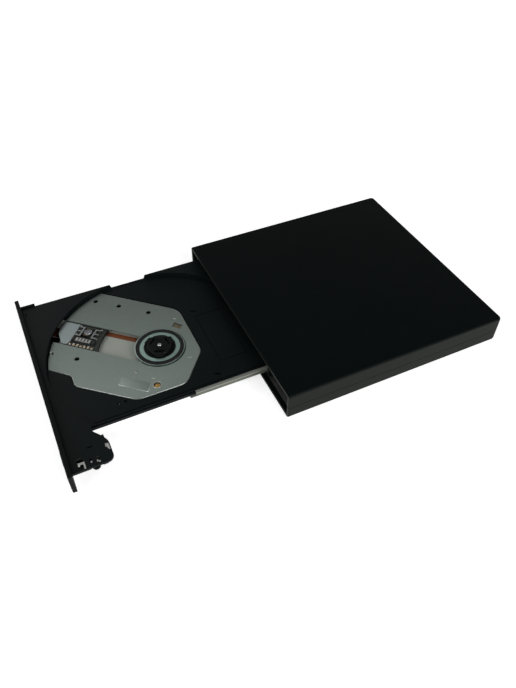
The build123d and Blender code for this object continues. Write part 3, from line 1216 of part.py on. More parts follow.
def eject_button():
    flange = TRAY_FRONT + BUTTON_FLANGE_GAP
    stem = flange + BUTTON_FLANGE_THICK
    cap = slot_y(BUTTON_X, BUTTON_Z, BUTTON_LENGTH, BUTTON_HEIGHT, BEZEL_FRONT - BUTTON_PROUD, stem)
    cap = chamfer(front_edges(cap), BUTTON_EDGE)
    cap += slot_y(BUTTON_X, BUTTON_Z, BUTTON_LENGTH + BUTTON_FLANGE, BUTTON_HEIGHT, flange, stem)
    return cap + block(BUTTON_X - BUTTON_STEM_HALF, BUTTON_X + BUTTON_STEM_HALF, stem,
                       SWITCH_FRONT - BUTTON_STROKE - BUTTON_REST_GAP, BUTTON_Z - BUTTON_STEM_HALF,
                       BUTTON_Z + BUTTON_STEM_HALF)


def lamp_pipe():
    return slot_y(LAMP_X, BUTTON_Z, LAMP_LENGTH, LAMP_HEIGHT, BEZEL_FRONT - LAMP_PROUD, TRAY_FRONT)


def lobe_board():
    """The small board under the lobe, with the eject switch on it."""
    body = block(GUIDE_END_X + LOBE_BOARD_SIDE_GAP, LOBE_RIGHT - LOBE_BOARD_RIGHT,
                 TRAY_FRONT + LOBE_BOARD_FRONT, LOBE_BACK - LOBE_BOARD_BACK, LOBE_BOARD_Z, LOBE_BOARD_TOP_Z)
    return body + block(BUTTON_X - SWITCH_HALF, BUTTON_X + SWITCH_HALF, SWITCH_FRONT,
                        SWITCH_FRONT + SWITCH_DEPTH, LOBE_BOARD_TOP_Z, BUTTON_Z + SWITCH_RISE)


def latch_solenoid():
    left, right, front, back = SOLENOID
    body = lobe_block(left, right, front, back, LOBE_BOARD_TOP_Z, LOBE_BOARD_TOP_Z + SOLENOID_HEIGHT)
    plunger = Cylinder(PLUNGER_R, PLUNGER_LENGTH, align=(Align.CENTER, Align.CENTER, Align.MIN))
    middle = TRAY_FRONT + (front + back) / 2
    return body + Pos(LOBE_RIGHT - right, middle, LOBE_BOARD_TOP_Z + PLUNGER_RISE) * Rot(0, 90, 0) * plunger


def latch_lever():
    """The hooked lever that holds the closed tray; it turns on a pin under the lobe."""
    x, y = LATCH_PIVOT_X, LATCH_PIVOT_Y
    points = [(x - LATCH_TAIL, y - LATCH_SIDE), (x + LATCH_WAIST, y - LATCH_WAIST_FRONT),
              (LATCH_NOSE_X, LATCH_NOSE_Y - LATCH_NOSE_R + TONGUE_PLAY_Z),
              (LATCH_NOSE_X - LATCH_NOSE_R / 3, LATCH_NOSE_Y), (x + LATCH_WAIST, y + LATCH_WAIST_BACK),
              (x - LATCH_TAIL, y + LATCH_SIDE)]
    body = outline(points, LATCH_Z, LATCH_TOP_Z) + post(x, y, LATCH_Z, LATCH_TOP_Z, LATCH_HEAD_R)
    nose = post(LATCH_NOSE_X, LATCH_NOSE_Y, LATCH_Z, LATCH_TOP_Z, LATCH_NOSE_R)
    body += fillet(nose.edges().filter_by(GeomType.CIRCLE), LATCH_NOSE_EDGE_R)
    return body - post(x, y, LATCH_Z - CUT, LATCH_TOP_Z + CUT, LATCH_PIN_R + LATCH_PLAY)


def latch_plates():
    """The bent metal strips that show in the lobe's holes, each over its own hole."""
    top = TRAY_TOP_Z
    low = LATCH_TOP_Z + STRIP_GAP
    arm = lobe_block(4.3, 3.4, 3.6, 6.8, top, top + STRIP) + lobe_block(4.3, 0.3, 6.0, 6.8, top, top + STRIP)
    arm += lobe_block(4.3, 3.4, 3.6, 4.5, LOBE_UNDER_Z, top)
    clip = lobe_block(9.8, 9.0, 18.0, 19.8, top, top + STRIP)
    clip += lobe_block(9.8, 6.0, 19.0, 19.8, top, top + STRIP)
    clip += lobe_block(9.8, 9.0, 18.0, 18.7, LOBE_UNDER_Z, top)
    tab = lobe_block(3.0, 1.8, 12.3, 12.9, low, top + STRIP / 4)
    tab += lobe_block(3.0, 1.8, 12.3, 15.0, low, LOBE_UNDER_Z)
    hook = lobe_block(3.5, 2.6, 9.4, 10.2, low, top - STRIP / 4)
    hook += lobe_block(3.5, 1.1, 9.4, 10.2, low, LOBE_UNDER_Z)
    return [arm, clip, tab, hook]


def spindle_motor():
    body = spindle_post(FRAME_TOP_Z, TABLE_Z - MOTOR_GAP, MOTOR_R)
    return body - spindle_post(FRAME_TOP_Z - CUT, TABLE_Z, SHAFT_R + MOTOR_BORE_PLAY)


def turntable():
    return spindle_post(TABLE_Z, TABLE_TOP_Z, TABLE_R) - spindle_post(TABLE_Z - CUT, HUB_TOP_Z, SHAFT_R)


def turntable_pad():
    body = spindle_post(TABLE_TOP_Z, TABLE_TOP_Z + PAD_THICK, PAD_OUTER_R)
    return body - spindle_post(TABLE_Z, HUB_TOP_Z, PAD_INNER_R)


def spindle_shaft():
    body = spindle_post(FRAME_TOP_Z + SHAFT_LIFT, SHAFT_TOP_Z, SHAFT_R)
    return chamfer(top_edges(body), SHAFT_EDGE)


def at_claw(body, index):
    """Turns a piece from the +X side of the spindle to its claw's place round it."""
    angle = CLAW_FIRST_ANGLE + index * 360 / CLAW_COUNT
    return Pos(SPINDLE_X, SPINDLE_Y, 0) * Rot(0, 0, angle) * body


def spindle_hub():
    body = spindle_post(TABLE_TOP_Z, HUB_TOP_Z, HUB_R)
    body = fillet(top_edges(body), HUB_DOME_R)
    body += spindle_post(TABLE_TOP_Z, TABLE_TOP_Z + HUB_FLANGE, HUB_FLANGE_R)
    body -= spindle_post(TABLE_Z, HUB_TOP_Z + CUT, SHAFT_R)
    half = CLAW_WIDTH / 2 + CLAW_PLAY
    for index in range(CLAW_COUNT):
        room = block(CLAW_ROOT_R - CLAW_STROKE - CLAW_PLAY, HUB_FLANGE_R, -half, half, CLAW_Z - CLAW_PLAY,
                     HUB_TOP_Z + CUT)
        body -= at_claw(room, index)
    return body


def hub_claw(index):
    """One spring-loaded claw that grips the disc's bore."""
    nose = block(CLAW_ROOT_R, CLAW_TIP_R, -CLAW_WIDTH / 2, CLAW_WIDTH / 2, CLAW_Z, CLAW_Z + CLAW_HEIGHT)
    nose = chamfer(nose.faces().sort_by(Axis.X)[-1].edges().filter_by(Axis.Y), CLAW_EDGE)
    nose = fillet(nose.faces().sort_by(Axis.X)[-1].edges().filter_by(Axis.Z), CLAW_CORNER_R)
    return at_claw(nose, index)


def pickup_sled():
    """The carriage that carries the optics along the two rods."""
    body = lens_outline(SLED_PLAN, SLED_Z, SLED_TOP_Z)
    body += lens_block(SLED_FAR_ARM[0], SLED_FAR_ARM[1], SLED_PLAN[0][1] - RAIL_FLANGE, SLED_FAR, SLED_Z,
                       SLED_TOP_Z)
    body += lens_block(SLED_NEAR_ARM[0], SLED_NEAR_ARM[1], SLED_NEAR, SLED_PLAN[-1][1] + RAIL_FLANGE, SLED_Z,
                       SLED_TOP_Z)
    body -= spindle_post(SLED_Z - CUT, SLED_TOP_Z + CUT, LENS_OUT - SLED_NOSE_GAP)
    body -= lens_block(-SLED_WELL_HALF, SLED_WELL_HALF, LENS_ACROSS - SLED_WELL_HALF,
                       LENS_ACROSS + SLED_WELL_HALF, SLED_TOP_Z - SLED_WELL_DEPTH, SLED_TOP_Z + CUT)
    for across in (ROD_FAR, ROD_NEAR):
        body -= slot_rod(ROD_FAR_START, ROD_END + CUT, across, ROD_Z, ROD_R + ROD_PLAY)
    return body + lens_block(HALF_NUT[0], HALF_NUT[1], SCREW_ACROSS + SCREW_R + SCREW_PLAY,
                             SLED_NEAR + SCREW_PLAY, ROD_Z - HALF_NUT_HALF_HEIGHT,
                             ROD_Z + HALF_NUT_HALF_HEIGHT)


def pickup_cover():
    return lens_outline(PICKUP_COVER_PLAN, SLED_TOP_Z, SLED_TOP_Z + PICKUP_COVER_THICK)


def pickup_contacts():
    """A row of soldering lands on the carriage's near edge."""
    lands = []
    for index in range(LAND_COUNT):
        out = LAND_FIRST + index * LAND_PITCH
        lands.append(lens_block(out, out + LAND_LENGTH, LAND_ACROSS[0], LAND_ACROSS[1], SLED_TOP_Z,
                                SLED_TOP_Z + LAND_THICK))
    return lands


def actuator_frame():
    """The two comb-shaped magnet frames on either side of the lens."""
    frames = []
    inner = HOLDER_LENGTH / 2 + FRAME_GAP
    z0, z1 = SLED_TOP_Z, SLED_TOP_Z + FRAME_HEIGHT
    near = LENS_ACROSS + FRAME_ARMS[0]
    far = LENS_ACROSS + FRAME_ARMS[-1] + FRAME_ARM_WIDTH
    for side in (-1, 1):
        low, high = sorted((side * inner, side * (inner + FRAME_WEB)))
        frame = lens_block(low, high, near, far, z0, z1)
        low, high = sorted((side * inner, side * (inner + FRAME_WEB + FRAME_ARM)))
        for across in FRAME_ARMS:
            start = LENS_ACROSS + across
            frame += lens_block(low, high, start, start + FRAME_ARM_WIDTH, z0, z1)
        frames.append(frame)
    return frames


def laser_diode():
    return lens_block(LASER_OUT[0], LASER_OUT[1], LASER_ACROSS[0], LASER_ACROSS[1], SLED_TOP_Z,
                      SLED_TOP_Z + LASER_HEIGHT)


def lens_holder():
    length, width = HOLDER_LENGTH / 2, HOLDER_WIDTH / 2
    body = lens_block(-length, length, LENS_ACROSS - width, LENS_ACROSS + width, HOLDER_Z,
                      HOLDER_Z + HOLDER_THICK)
    return body - post(*at(LENS_OUT, LENS_ACROSS), HOLDER_Z - CUT, HOLDER_Z + CUT, LENS_R)


def objective_lens():
    """A small plano-convex lens in the holder's bore."""
    body = post(*at(LENS_OUT, LENS_ACROSS), HOLDER_Z, HOLDER_Z + LENS_HEIGHT, LENS_R)
    return fillet(top_edges(body), LENS_DOME_R)


def pickup_flex():
    """The flat flexible cable that lies in the slot beside the pickup's way."""
    return [slot_block(*FLEX_RUN, *FLEX_ACROSS, FRAME_TOP_Z, FRAME_TOP_Z + FLEX_THICK),
            slot_block(*FLEX_TIP_RUN, *FLEX_TIP_ACROSS, FRAME_TOP_Z, FRAME_TOP_Z + FLEX_THICK)]


NODES = [
    top_shell, bottom_shell, rubber_feet, case_screws, drive_screws, drive_chassis, drive_top_cover,
    cover_screws, main_board, main_chips, drive_connector, tray_ribbon, latch_catch, rail_guide_right,
    rail_guide_left, ejector_housing, ejector_spring, ejector_pusher, bridge_board, bridge_chip,
    bridge_connector, usb_socket, power_jack, slide_rail_right, slide_rail_left, tray, bezel, lamp_pipe,
    lobe_board, latch_solenoid, latch_plates, latch_lever, eject_button, tray_shield, shield_screws,
    traverse_base, traverse_cover, rubber_dampers, traverse_screws, guide_rods, sled_motor, lead_screw,
    pickup_flex, spindle_motor, turntable, turntable_pad, spindle_hub, spindle_shaft, pickup_sled,
    pickup_cover, pickup_contacts, actuator_frame, laser_diode, lens_holder, objective_lens,
]


def write(name, shape):
    """Moves a piece, or a group of like pieces, to the part's origin and writes it."""
    shapes = shape if isinstance(shape, list) else [shape]
    move = Pos(0, -CASE_DEPTH / 2, 0)
    placed = [move * solid for piece in shapes for solid in piece.solids()]
    export_step(placed[0] if len(placed) == 1 else Compound(children=placed), f"parts/{name}.step")


for make in NODES:
    write(make.__name__, make())
for number in range(CLAW_COUNT):
    write(f"hub_claw_{number + 1}", hub_claw(number))
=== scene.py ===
"""Looks of a slim disc drive whose tray stands open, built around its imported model.

Lengths are metres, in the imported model's own frame. Sizes that a fine part needs are written in
millimetres and turned by MM. Places on the tray are given the way the part's source gives them: X from
the case's middle, Y from the case's front edge, Z from the underside.
"""

import json
import logging
import math
from dataclasses import dataclass
from enum import Enum
from typing import Any, Callable, Optional, Sequence, Union

import bmesh
import bpy
from mathutils import Matrix, Vector

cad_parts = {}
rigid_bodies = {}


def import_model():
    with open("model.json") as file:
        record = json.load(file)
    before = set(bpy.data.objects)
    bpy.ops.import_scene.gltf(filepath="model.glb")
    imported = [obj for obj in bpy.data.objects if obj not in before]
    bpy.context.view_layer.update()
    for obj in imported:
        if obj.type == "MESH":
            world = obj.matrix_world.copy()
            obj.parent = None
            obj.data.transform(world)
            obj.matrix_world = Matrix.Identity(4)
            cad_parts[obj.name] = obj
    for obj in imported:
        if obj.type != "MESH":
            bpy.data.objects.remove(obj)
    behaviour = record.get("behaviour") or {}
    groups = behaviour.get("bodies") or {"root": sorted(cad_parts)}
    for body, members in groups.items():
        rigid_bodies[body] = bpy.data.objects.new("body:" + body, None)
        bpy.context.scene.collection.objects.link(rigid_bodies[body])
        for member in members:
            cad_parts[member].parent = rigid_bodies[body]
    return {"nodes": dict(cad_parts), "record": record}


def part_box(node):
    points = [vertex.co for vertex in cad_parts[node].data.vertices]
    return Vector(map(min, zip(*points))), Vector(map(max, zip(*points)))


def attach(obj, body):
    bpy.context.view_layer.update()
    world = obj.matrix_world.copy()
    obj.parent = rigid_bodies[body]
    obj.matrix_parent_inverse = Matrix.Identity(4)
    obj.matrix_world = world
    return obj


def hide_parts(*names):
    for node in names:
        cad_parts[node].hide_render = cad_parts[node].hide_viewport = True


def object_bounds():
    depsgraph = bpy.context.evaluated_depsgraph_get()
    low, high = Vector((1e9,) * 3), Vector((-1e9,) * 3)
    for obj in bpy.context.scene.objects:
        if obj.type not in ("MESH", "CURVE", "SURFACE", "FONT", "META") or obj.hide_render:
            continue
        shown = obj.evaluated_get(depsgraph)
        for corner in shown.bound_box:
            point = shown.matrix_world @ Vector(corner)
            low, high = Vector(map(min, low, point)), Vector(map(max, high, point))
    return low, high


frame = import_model()
CAD_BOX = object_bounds()

MM = 0.001
LOG = logging.getLogger("disc_drive")

Colour = tuple[float, float, float]
Size = tuple[float, float, float]
Spot = tuple[float, float]
Point = Sequence[float]
Number = Union["Signal", float]

CASE_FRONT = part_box("top_shell")[0].y


def spot(x: float, y: float, z: float) -> Vector:
    """Turns a place counted from the case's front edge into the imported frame.

    Args:
        x: Millimetres to the right of the case's middle.
        y: Millimetres behind the case's front edge.
        z: Millimetres above the underside.

    Returns:
        The same place in metres.
    """
    return Vector((x * MM, y * MM + CASE_FRONT, z * MM))


def top_of(node: str) -> float:
    """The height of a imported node's upper face, in millimetres."""
    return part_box(node)[1].z / MM


def metres(sides: Point) -> Size:
    """Turns sides in millimetres into metres."""
    return tuple(side * MM for side in sides)


def spaced(values: dict[str, Any]) -> dict[str, Any]:
    """The same values, with a space for each _ in their names."""
    return {name.replace("_", " "): value for name, value in values.items()}


def put(name: str, data: bpy.types.ID) -> bpy.types.Object:
    """Makes an object of some data and links it to the scene."""
    made = bpy.data.objects.new(name, data)
    bpy.context.scene.collection.objects.link(made)
    return made


@dataclass(frozen=True)
class PickupPath:
    """The slanted way of the pickup: out from the spindle, and across."""

    angle: float = math.radians(228.6)

    @property
    def spindle(self) -> Vector:
        """The spindle's axis, at the height of the underside."""
        low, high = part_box("spindle_shaft")
        middle = (low + high) / 2
        return Vector((middle.x, middle.y, 0.0))

    @property
    def out(self) -> Vector:
        """Unit step from the spindle towards the tray's rim."""
        return Vector((math.cos(self.angle), math.sin(self.angle), 0.0))

    @property
    def across(self) -> Vector:
        """Unit step square to the way, to the right of someone looking out."""
        return Vector((math.sin(self.angle), -math.cos(self.angle), 0.0))

    def at(self, out: float, across: float, z: float) -> Vector:
        """Gives a place on the way.

        Args:
            out: Millimetres out from the spindle.
            across: Millimetres to the side.
            z: Millimetres above the underside.

        Returns:
            The place in metres.
        """
        level = self.spindle + self.out * (out * MM) + self.across * (across * MM)
        return level + Vector((0, 0, z * MM))


WAY = PickupPath()


def math_node(operation: str, swapped: bool = False) -> Callable[..., "Signal"]:
    """Gives a method that adds one Math node.

    Args:
        operation: The node's operation.
        swapped: Whether the other operand comes first, as a reflected operator needs.

    Returns:
        The method.
    """

    def method(self: "Signal", other: Number = 0.0) -> "Signal":
        """Adds the node and gives its output."""
        first, second = (other, self) if swapped else (self, other)
        return self.tree.node("ShaderNodeMath", {"operation": operation}, {0: first, 1: second})

    return method


class Signal:
    """One output socket of a node tree, with arithmetic that adds Math nodes.

    A comparison gives 1 or 0, fraction() what follows the point and size() the value without its sign.
    """

    __add__, __radd__ = math_node("ADD"), math_node("ADD", swapped=True)
    __sub__, __rsub__ = math_node("SUBTRACT"), math_node("SUBTRACT", swapped=True)
    __mul__, __rmul__ = math_node("MULTIPLY"), math_node("MULTIPLY", swapped=True)
    __truediv__ = math_node("DIVIDE")
    __lt__ = math_node("LESS_THAN")
    __gt__ = math_node("GREATER_THAN")
    fraction = math_node("FRACT")
    size = math_node("ABSOLUTE")

    def __init__(self, tree: "Tree", socket: Optional[bpy.types.NodeSocket]) -> None:
        """Keeps the tree and the socket."""
        self.tree = tree
        self.socket = socket


class Tree:
    """A shader or geometry node tree that is filled by one method."""

    def __init__(self, tree: bpy.types.NodeTree) -> None:
        """Keeps the tree."""
        self.tree = tree

    def node(
        self,
        kind: str,
        settings: Optional[dict[str, Any]] = None,
        inputs: Optional[dict[Union[int, str], Any]] = None,
        output: Union[int, str] = 0,
    ) -> Signal:
        """Adds a node, sets it up and feeds it.

        Args:
            kind: The node's type.
            settings: Its properties, which are set first.
            inputs: Values or signals by socket name or number.
            output: The output socket that is wanted.

        Returns:
            That output, or an empty signal for a node that has none.
        """
        made = self.tree.nodes.new(kind)
        for name, value in (settings or {}).items():
            setattr(made, name, value)
        for key, value in (inputs or {}).items():
            socket = made.inputs[key]
            if isinstance(value, Signal):
                self.tree.links.new(value.socket, socket)
            elif socket.type == "RGBA":
                socket.default_value = (*value, 1.0)
            else:
                socket.default_value = value
        return Signal(self, made.outputs[output] if made.outputs else None)


class Paint(Tree):
    """A material's tree, with the patterns that the finishes share."""

    def place(
        self, turn: float = 0.0, stretch: Point = (1.0, 1.0, 1.0), centre: Point = (0, 0, 0)
    ) -> Signal:
        """Object coordinates, moved to a centre, turned about Z and stretched.

        Args:
            turn: Angle of the pattern's own X, in radians.
            stretch: Scale of each of its axes.
            centre: The pattern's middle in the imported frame.

        Returns:
            The vector.
        """
        moved = self.vector("SUBTRACT", self.node("ShaderNodeTexCoord", output="Object"), centre)
        turning = {"Vector": moved, "Angle": -turn}
        turned = self.node("ShaderNodeVectorRotate", {"rotation_type": "Z_AXIS"}, turning)
        return self.vector("MULTIPLY", turned, stretch)

    def vector(self, operation: str, first: Signal, second: Point = (0, 0, 0)) -> Signal:
        """Adds one Vector Math node; a length is a number, all else a vector."""
        output = "Value" if operation == "LENGTH" else "Vector"
        settings = {"operation": operation}
        return self.node("ShaderNodeVectorMath", settings, {0: first, 1: tuple(second)}, output)

    def part(self, vector: Signal, axis: str) -> Signal:
        """One of a vector's numbers, "X", "Y" or "Z"."""
        return self.node("ShaderNodeSeparateXYZ", inputs={0: vector}, output=axis)

    def noise(self, vector: Signal, grain: float, detail: float = 2.0, rough: float = 0.5) -> Signal:
        """Cloudy noise around 0.5.

        Args:
            vector: Where it is read.
            grain: Size of its lumps, in the vector's own unit.
            detail: Number of finer layers.
            rough: Strength of those layers.

        Returns:
            The noise.
        """
        return self.node(
            "ShaderNodeTexNoise",
            inputs={"Vector": vector, "Scale": 1.0 / grain, "Detail": detail, "Roughness": rough},
        )

    def cells(self, vector: Signal, grain: float, jitter: float = 1.0, output: str = "Distance") -> Signal:
        """Cell noise: the distance to the nearest point, or that cell's colour."""
        return self.node(
            "ShaderNodeTexVoronoi",
            inputs={"Vector": vector, "Scale": 1.0 / grain, "Randomness": jitter},
            output=output,
        )

    def ramp(self, fac: Signal, low: float, high: float) -> Signal:
        """Stretches the range from low to high over 0 to 1, and clips it there."""
        settings = {"clamp": True, "interpolation_type": "LINEAR"}
        return self.node("ShaderNodeMapRange", settings, {"Value": fac, "From Min": low, "From Max": high})

    def mix(self, fac: Number, first: Any, second: Any) -> Signal:
        """Blends two colours."""
        return self.node("ShaderNodeMix", {"data_type": "RGBA"}, {0: fac, 6: first, 7: second}, output=2)

    def bump(self, height: Signal, depth: float) -> Signal:
        """Turns a height of 0 to 1 into a normal; depth is that height in metres."""
        return self.node("ShaderNodeBump", inputs={"Height": height, "Distance": depth, "Strength": 1.0})

    def principled(
        self, colour: Any, rough: Number, relief: Optional[tuple[Signal, float]] = None, **others: Any
    ) -> Signal:
        """Adds the main shader.

        Args:
            colour: Its base colour.
            rough: Its roughness.
            relief: A height of 0 to 1, and what that is in metres.
            others: Values of other sockets, with _ for a space in the name.

        Returns:
            The shader.
        """
        if relief:
            others["Normal"] = self.bump(*relief)
        sockets = {"Base Color": colour, "Roughness": rough, **spaced(others)}
        return self.node("ShaderNodeBsdfPrincipled", inputs=sockets)


def blank_tree(owner: Union[bpy.types.Material, bpy.types.World]) -> Paint:
    """Turns on an owner's nodes and empties its tree."""
    owner.use_nodes = True
    owner.node_tree.nodes.clear()
    return Paint(owner.node_tree)


def shade(colour: Colour, factor: float) -> Colour:
    """A colour made darker or lighter."""
    return tuple(min(1.0, part * factor) for part in colour)


@dataclass(frozen=True)
class Finish:
    """What every finish has: a name, a colour, a roughness and how far both vary."""

    name: str
    colour: Colour
    roughness: float = 0.5
    tone: float = 0.12
    cloud: float = 18 * MM

    def surface(self, paint: Paint) -> Signal:
        """Builds the shader and returns its output."""
        raise NotImplementedError

    def material(self) -> bpy.types.Material:
        """Returns the finish's material, built once."""
        known = MATERIALS.get(self.name)
        if known is None:
            known = bpy.data.materials.new(self.name)
            paint = blank_tree(known)
            paint.node("ShaderNodeOutputMaterial", inputs={"Surface": self.surface(paint)})
            MATERIALS[self.name] = known
        return known

    def clouded(self, paint: Paint, place: Signal) -> tuple[Signal, Signal]:
        """Gives the colour with its slow variation, and that variation itself."""
        cloud = paint.noise(place, self.cloud, 3.0)
        dark, light = shade(self.colour, 1 - self.tone), shade(self.colour, 1 + self.tone)
        return paint.mix(cloud, dark, light), cloud


MATERIALS: dict[str, bpy.types.Material] = {}


@dataclass(frozen=True)
class MouldedPlastic(Finish):
    """Moulding with an eroded grain, slow changes of tone and a few specks of dust."""

    grain: float = 0.22 * MM
    depth: float = 0.02 * MM
    gloss: float = 0.35
    dust: float = 0.0
    wall: Optional[Colour] = None

    def surface(self, paint: Paint) -> Signal:
        """Builds grain, tone and dust; upright walls may take their own lighter colour, painted light that
        stands for the brighter light on the sides.
        """
        place = paint.place()
        colour, cloud = self.clouded(paint, place)
        # painted light: upright walls blend towards a lighter colour, standing in for the extra light that
        # falls on the sides
        if self.wall:
            upward = paint.part(paint.node("ShaderNodeNewGeometry", output="True Normal"), "Z").size()
            colour = paint.mix(paint.ramp(upward, 0.75, 0.25), colour, self.wall)
        grain = paint.noise(place, self.grain, 3.0, 0.6)
        if self.dust:
            speck = paint.cells(place, 2.4 * MM) < 0.045
            colour = paint.mix(speck * self.dust, colour, (0.32, 0.32, 0.31))
        rough = self.roughness + (cloud - 0.5) * 0.12 + (grain - 0.5) * 0.1
        return paint.principled(colour, rough, (grain, self.depth), Specular_IOR_Level=self.gloss)


@dataclass(frozen=True)
class RolledSheet(Finish):
    """Plated sheet metal with streaks along its rolling direction and a faint spangle."""

    along: float = 0.0
    streak: float = 0.05
    metal: float = 1.0
    spangle: float = 0.0
    painted_shade: Optional[tuple[float, float, float]] = None

    def surface(self, paint: Paint) -> Signal:
        """Builds streaks and spangle; a painted shade (from X, to X, share of the colour) darkens the
        left, standing in for the shade that falls there.
        """
        place = paint.place(self.along, (0.04, 1.0, 1.0))
        streaks = paint.noise(place, 0.12 * MM, 2.0, 0.6)
        even = paint.place()
        colour, cloud = self.clouded(paint, even)
        # painted shade: the colour darkens towards the left, where less light falls on the sheet
        if self.painted_shade:
            start, end, share = self.painted_shade
            rightward = paint.ramp(paint.part(even, "X"), start, end)
            colour = paint.mix(rightward, shade(self.colour, share), colour)
        facets = paint.cells(even, 1.6 * MM, output="Color")
        colour = paint.mix(self.spangle * paint.part(facets, "X"), colour, shade(self.colour, 1.5))
        colour = paint.mix(0.35 * streaks, colour, shade(self.colour, 1 - 2 * self.streak))
        rough = self.roughness + (streaks - 0.5) * 0.2 + (cloud - 0.5) * 0.1
        relief = (streaks, self.streak * 0.06 * MM)
        return paint.principled(colour, rough, relief, Metallic=self.metal)


@dataclass(frozen=True)
class TurnedMetal(Finish):
    """Metal with fine rings round an axis, as a lathe leaves them."""

    centre: tuple[float, float, float] = (0.0, 0.0, 0.0)
    pitch: float = 0.25 * MM

    def surface(self, paint: Paint) -> Signal:
        """Builds the rings."""
        place = paint.place(centre=self.centre)
        radius = paint.vector("LENGTH", paint.vector("MULTIPLY", place, (1, 1, 0)))
        ring = (radius / self.pitch).fraction() - 0.5
        colour, cloud = self.clouded(paint, place)
        worn = paint.mix(0.3 * ring.size(), colour, shade(self.colour, 0.7))
        rough = self.roughness + ring.size() * 0.15 + (cloud - 0.5) * 0.1
        return paint.principled(worn, rough, (ring.size(), 0.004 * MM), Metallic=1.0)


@dataclass(frozen=True)
class CastMetal(Finish):
    """Die-cast metal with a pebbled skin and dark pits."""

    grain: float = 0.5 * MM
    depth: float = 0.05 * MM
    pits: float = 0.5
    metal: float = 0.9

    def surface(self, paint: Paint) -> Signal:
        """Builds pebbles and pits."""
        place = paint.place()
        colour, cloud = self.clouded(paint, place)
        pebble = paint.noise(place, self.grain, 3.0, 0.65)
        pit = paint.ramp(paint.cells(place, self.grain * 1.7), 0.28, 0.1)
        colour = paint.mix(pit * self.pits, colour, shade(self.colour, 0.3))
        rough = self.roughness + (pebble - 0.5) * 0.25 + (cloud - 0.5) * 0.1
        return paint.principled(colour, rough, (pebble, self.depth), Metallic=self.metal)


@dataclass(frozen=True)
class DottedSheet(Finish):
    """Pale plate with close rows of small dark dots, askew to the pickup's way."""

    pitch: float = 1.5 * MM
    dot: float = 0.36
    skew: float = math.radians(20)

    def surface(self, paint: Paint) -> Signal:
        """Builds the rows of dots."""
        place = paint.place(WAY.angle + self.skew, centre=WAY.spindle)
        row = paint.cells(place, self.pitch, 0.25)
        dots = paint.ramp(row, self.dot, self.dot * 0.5)
        colour, cloud = self.clouded(paint, place)
        speck = paint.noise(place, 0.35 * MM, 2.0)
        colour = paint.mix(dots * 0.85, colour, shade(self.colour, 0.3))
        colour = paint.mix(0.3 * speck, colour, shade(self.colour, 0.7))
        rough = self.roughness + (speck - 0.5) * 0.2 + (cloud - 0.5) * 0.1
        return paint.principled(colour, rough, (1 - dots, 0.03 * MM), Metallic=0.35)


@dataclass(frozen=True)
class SoftRubber(Finish):
    """Rubber with a dull bloom and a fine matt skin."""

    def surface(self, paint: Paint) -> Signal:
        """Builds bloom and skin."""
        place = paint.place()
        colour, cloud = self.clouded(paint, place)
        skin = paint.noise(place, 0.12 * MM, 3.0, 0.7)
        bloom = paint.ramp(paint.noise(place, 3 * MM, 3.0), 0.55, 0.8)
        colour = paint.mix(bloom * 0.3, colour, shade(self.colour, 2.2))
        rough = self.roughness + (cloud - 0.5) * 0.1 + (skin - 0.5) * 0.15
        return paint.principled(colour, rough, (skin, 0.02 * MM), Specular_IOR_Level=0.25)


@dataclass(frozen=True)
class CircuitMask(Finish):
    """Solder mask over copper tracks, whose direction changes from patch to patch."""

    pitch: float = 0.9 * MM
    copper: Colour = (0.05, 0.2, 0.09)

    def surface(self, paint: Paint) -> Signal:
        """Builds the tracks and small plated holes."""
        place = paint.place()
        patch = paint.part(paint.cells(place, 6 * MM, output="Color"), "X") < 0.5
        lengthwise = (paint.part(place, "X") / self.pitch).fraction() < 0.42
        crosswise = (paint.part(place, "Y") / self.pitch).fraction() < 0.42
        track = patch * lengthwise + (1 - patch) * crosswise
        hole = paint.cells(place, 2.2 * MM, 0.7) < 0.1
        colour, cloud = self.clouded(paint, place)
        colour = paint.mix(track * 0.8, colour, self.copper)
        colour = paint.mix(hole, colour, (0.5, 0.5, 0.46))
        rough = self.roughness + (cloud - 0.5) * 0.15 - track * 0.08
        return paint.principled(colour, rough, (track, 0.03 * MM), Metallic=hole * 0.9)


@dataclass(frozen=True)
class TrackedFilm(Finish):
    """Amber film with copper tracks along it, turned to a direction."""

    along: float = 0.0
    pitch: float = 0.8 * MM
    track: Colour = (0.42, 0.13, 0.04)
    painted_shade: Optional[tuple[float, float]] = None

    def surface(self, paint: Paint) -> Signal:
        """Builds the tracks; a painted shade (from, to) browns and darkens the film with its distance from
        the spindle, for the shade that lies on its outer end.
        """
        place = paint.place(self.along, centre=WAY.spindle)
        line = (paint.part(place, "Y") / self.pitch).fraction() < 0.55
        colour, cloud = self.clouded(paint, place)
        colour = paint.mix(line * 0.75, colour, self.track)
        # painted shade: the film darkens towards its outer end, which lies in shade
        if self.painted_shade:
            away = paint.ramp(paint.vector("LENGTH", place), *self.painted_shade)
            colour = paint.mix(away, colour, shade(self.colour, 0.25))
        ripple = paint.noise(place, 2.5 * MM, 2.0)
        rough = self.roughness + (cloud - 0.5) * 0.12 + (ripple - 0.5) * 0.08
        coat = 0.4 + (ripple - 0.5) * 0.2
        relief = (line * 0.6 + ripple, 0.03 * MM)
        return paint.principled(colour, rough, relief, Coat_Weight=coat, Coat_Roughness=0.15)


@dataclass(frozen=True)
class PlatedMetal(Finish):
    """Bright plated metal with small stains."""

    metal: float = 1.0

    def surface(self, paint: Paint) -> Signal:
        """Builds stains and a slightly uneven skin."""
        place = paint.place()
        colour, cloud = self.clouded(paint, place)
        stain = paint.ramp(paint.noise(place, 0.8 * MM, 3.0), 0.5, 0.75)
        colour = paint.mix(stain * 0.35, colour, shade(self.colour, 0.55))
        rough = self.roughness + stain * 0.15 + (cloud - 0.5) * 0.08
        return paint.principled(colour, rough, (stain, 0.01 * MM), Metallic=self.metal)


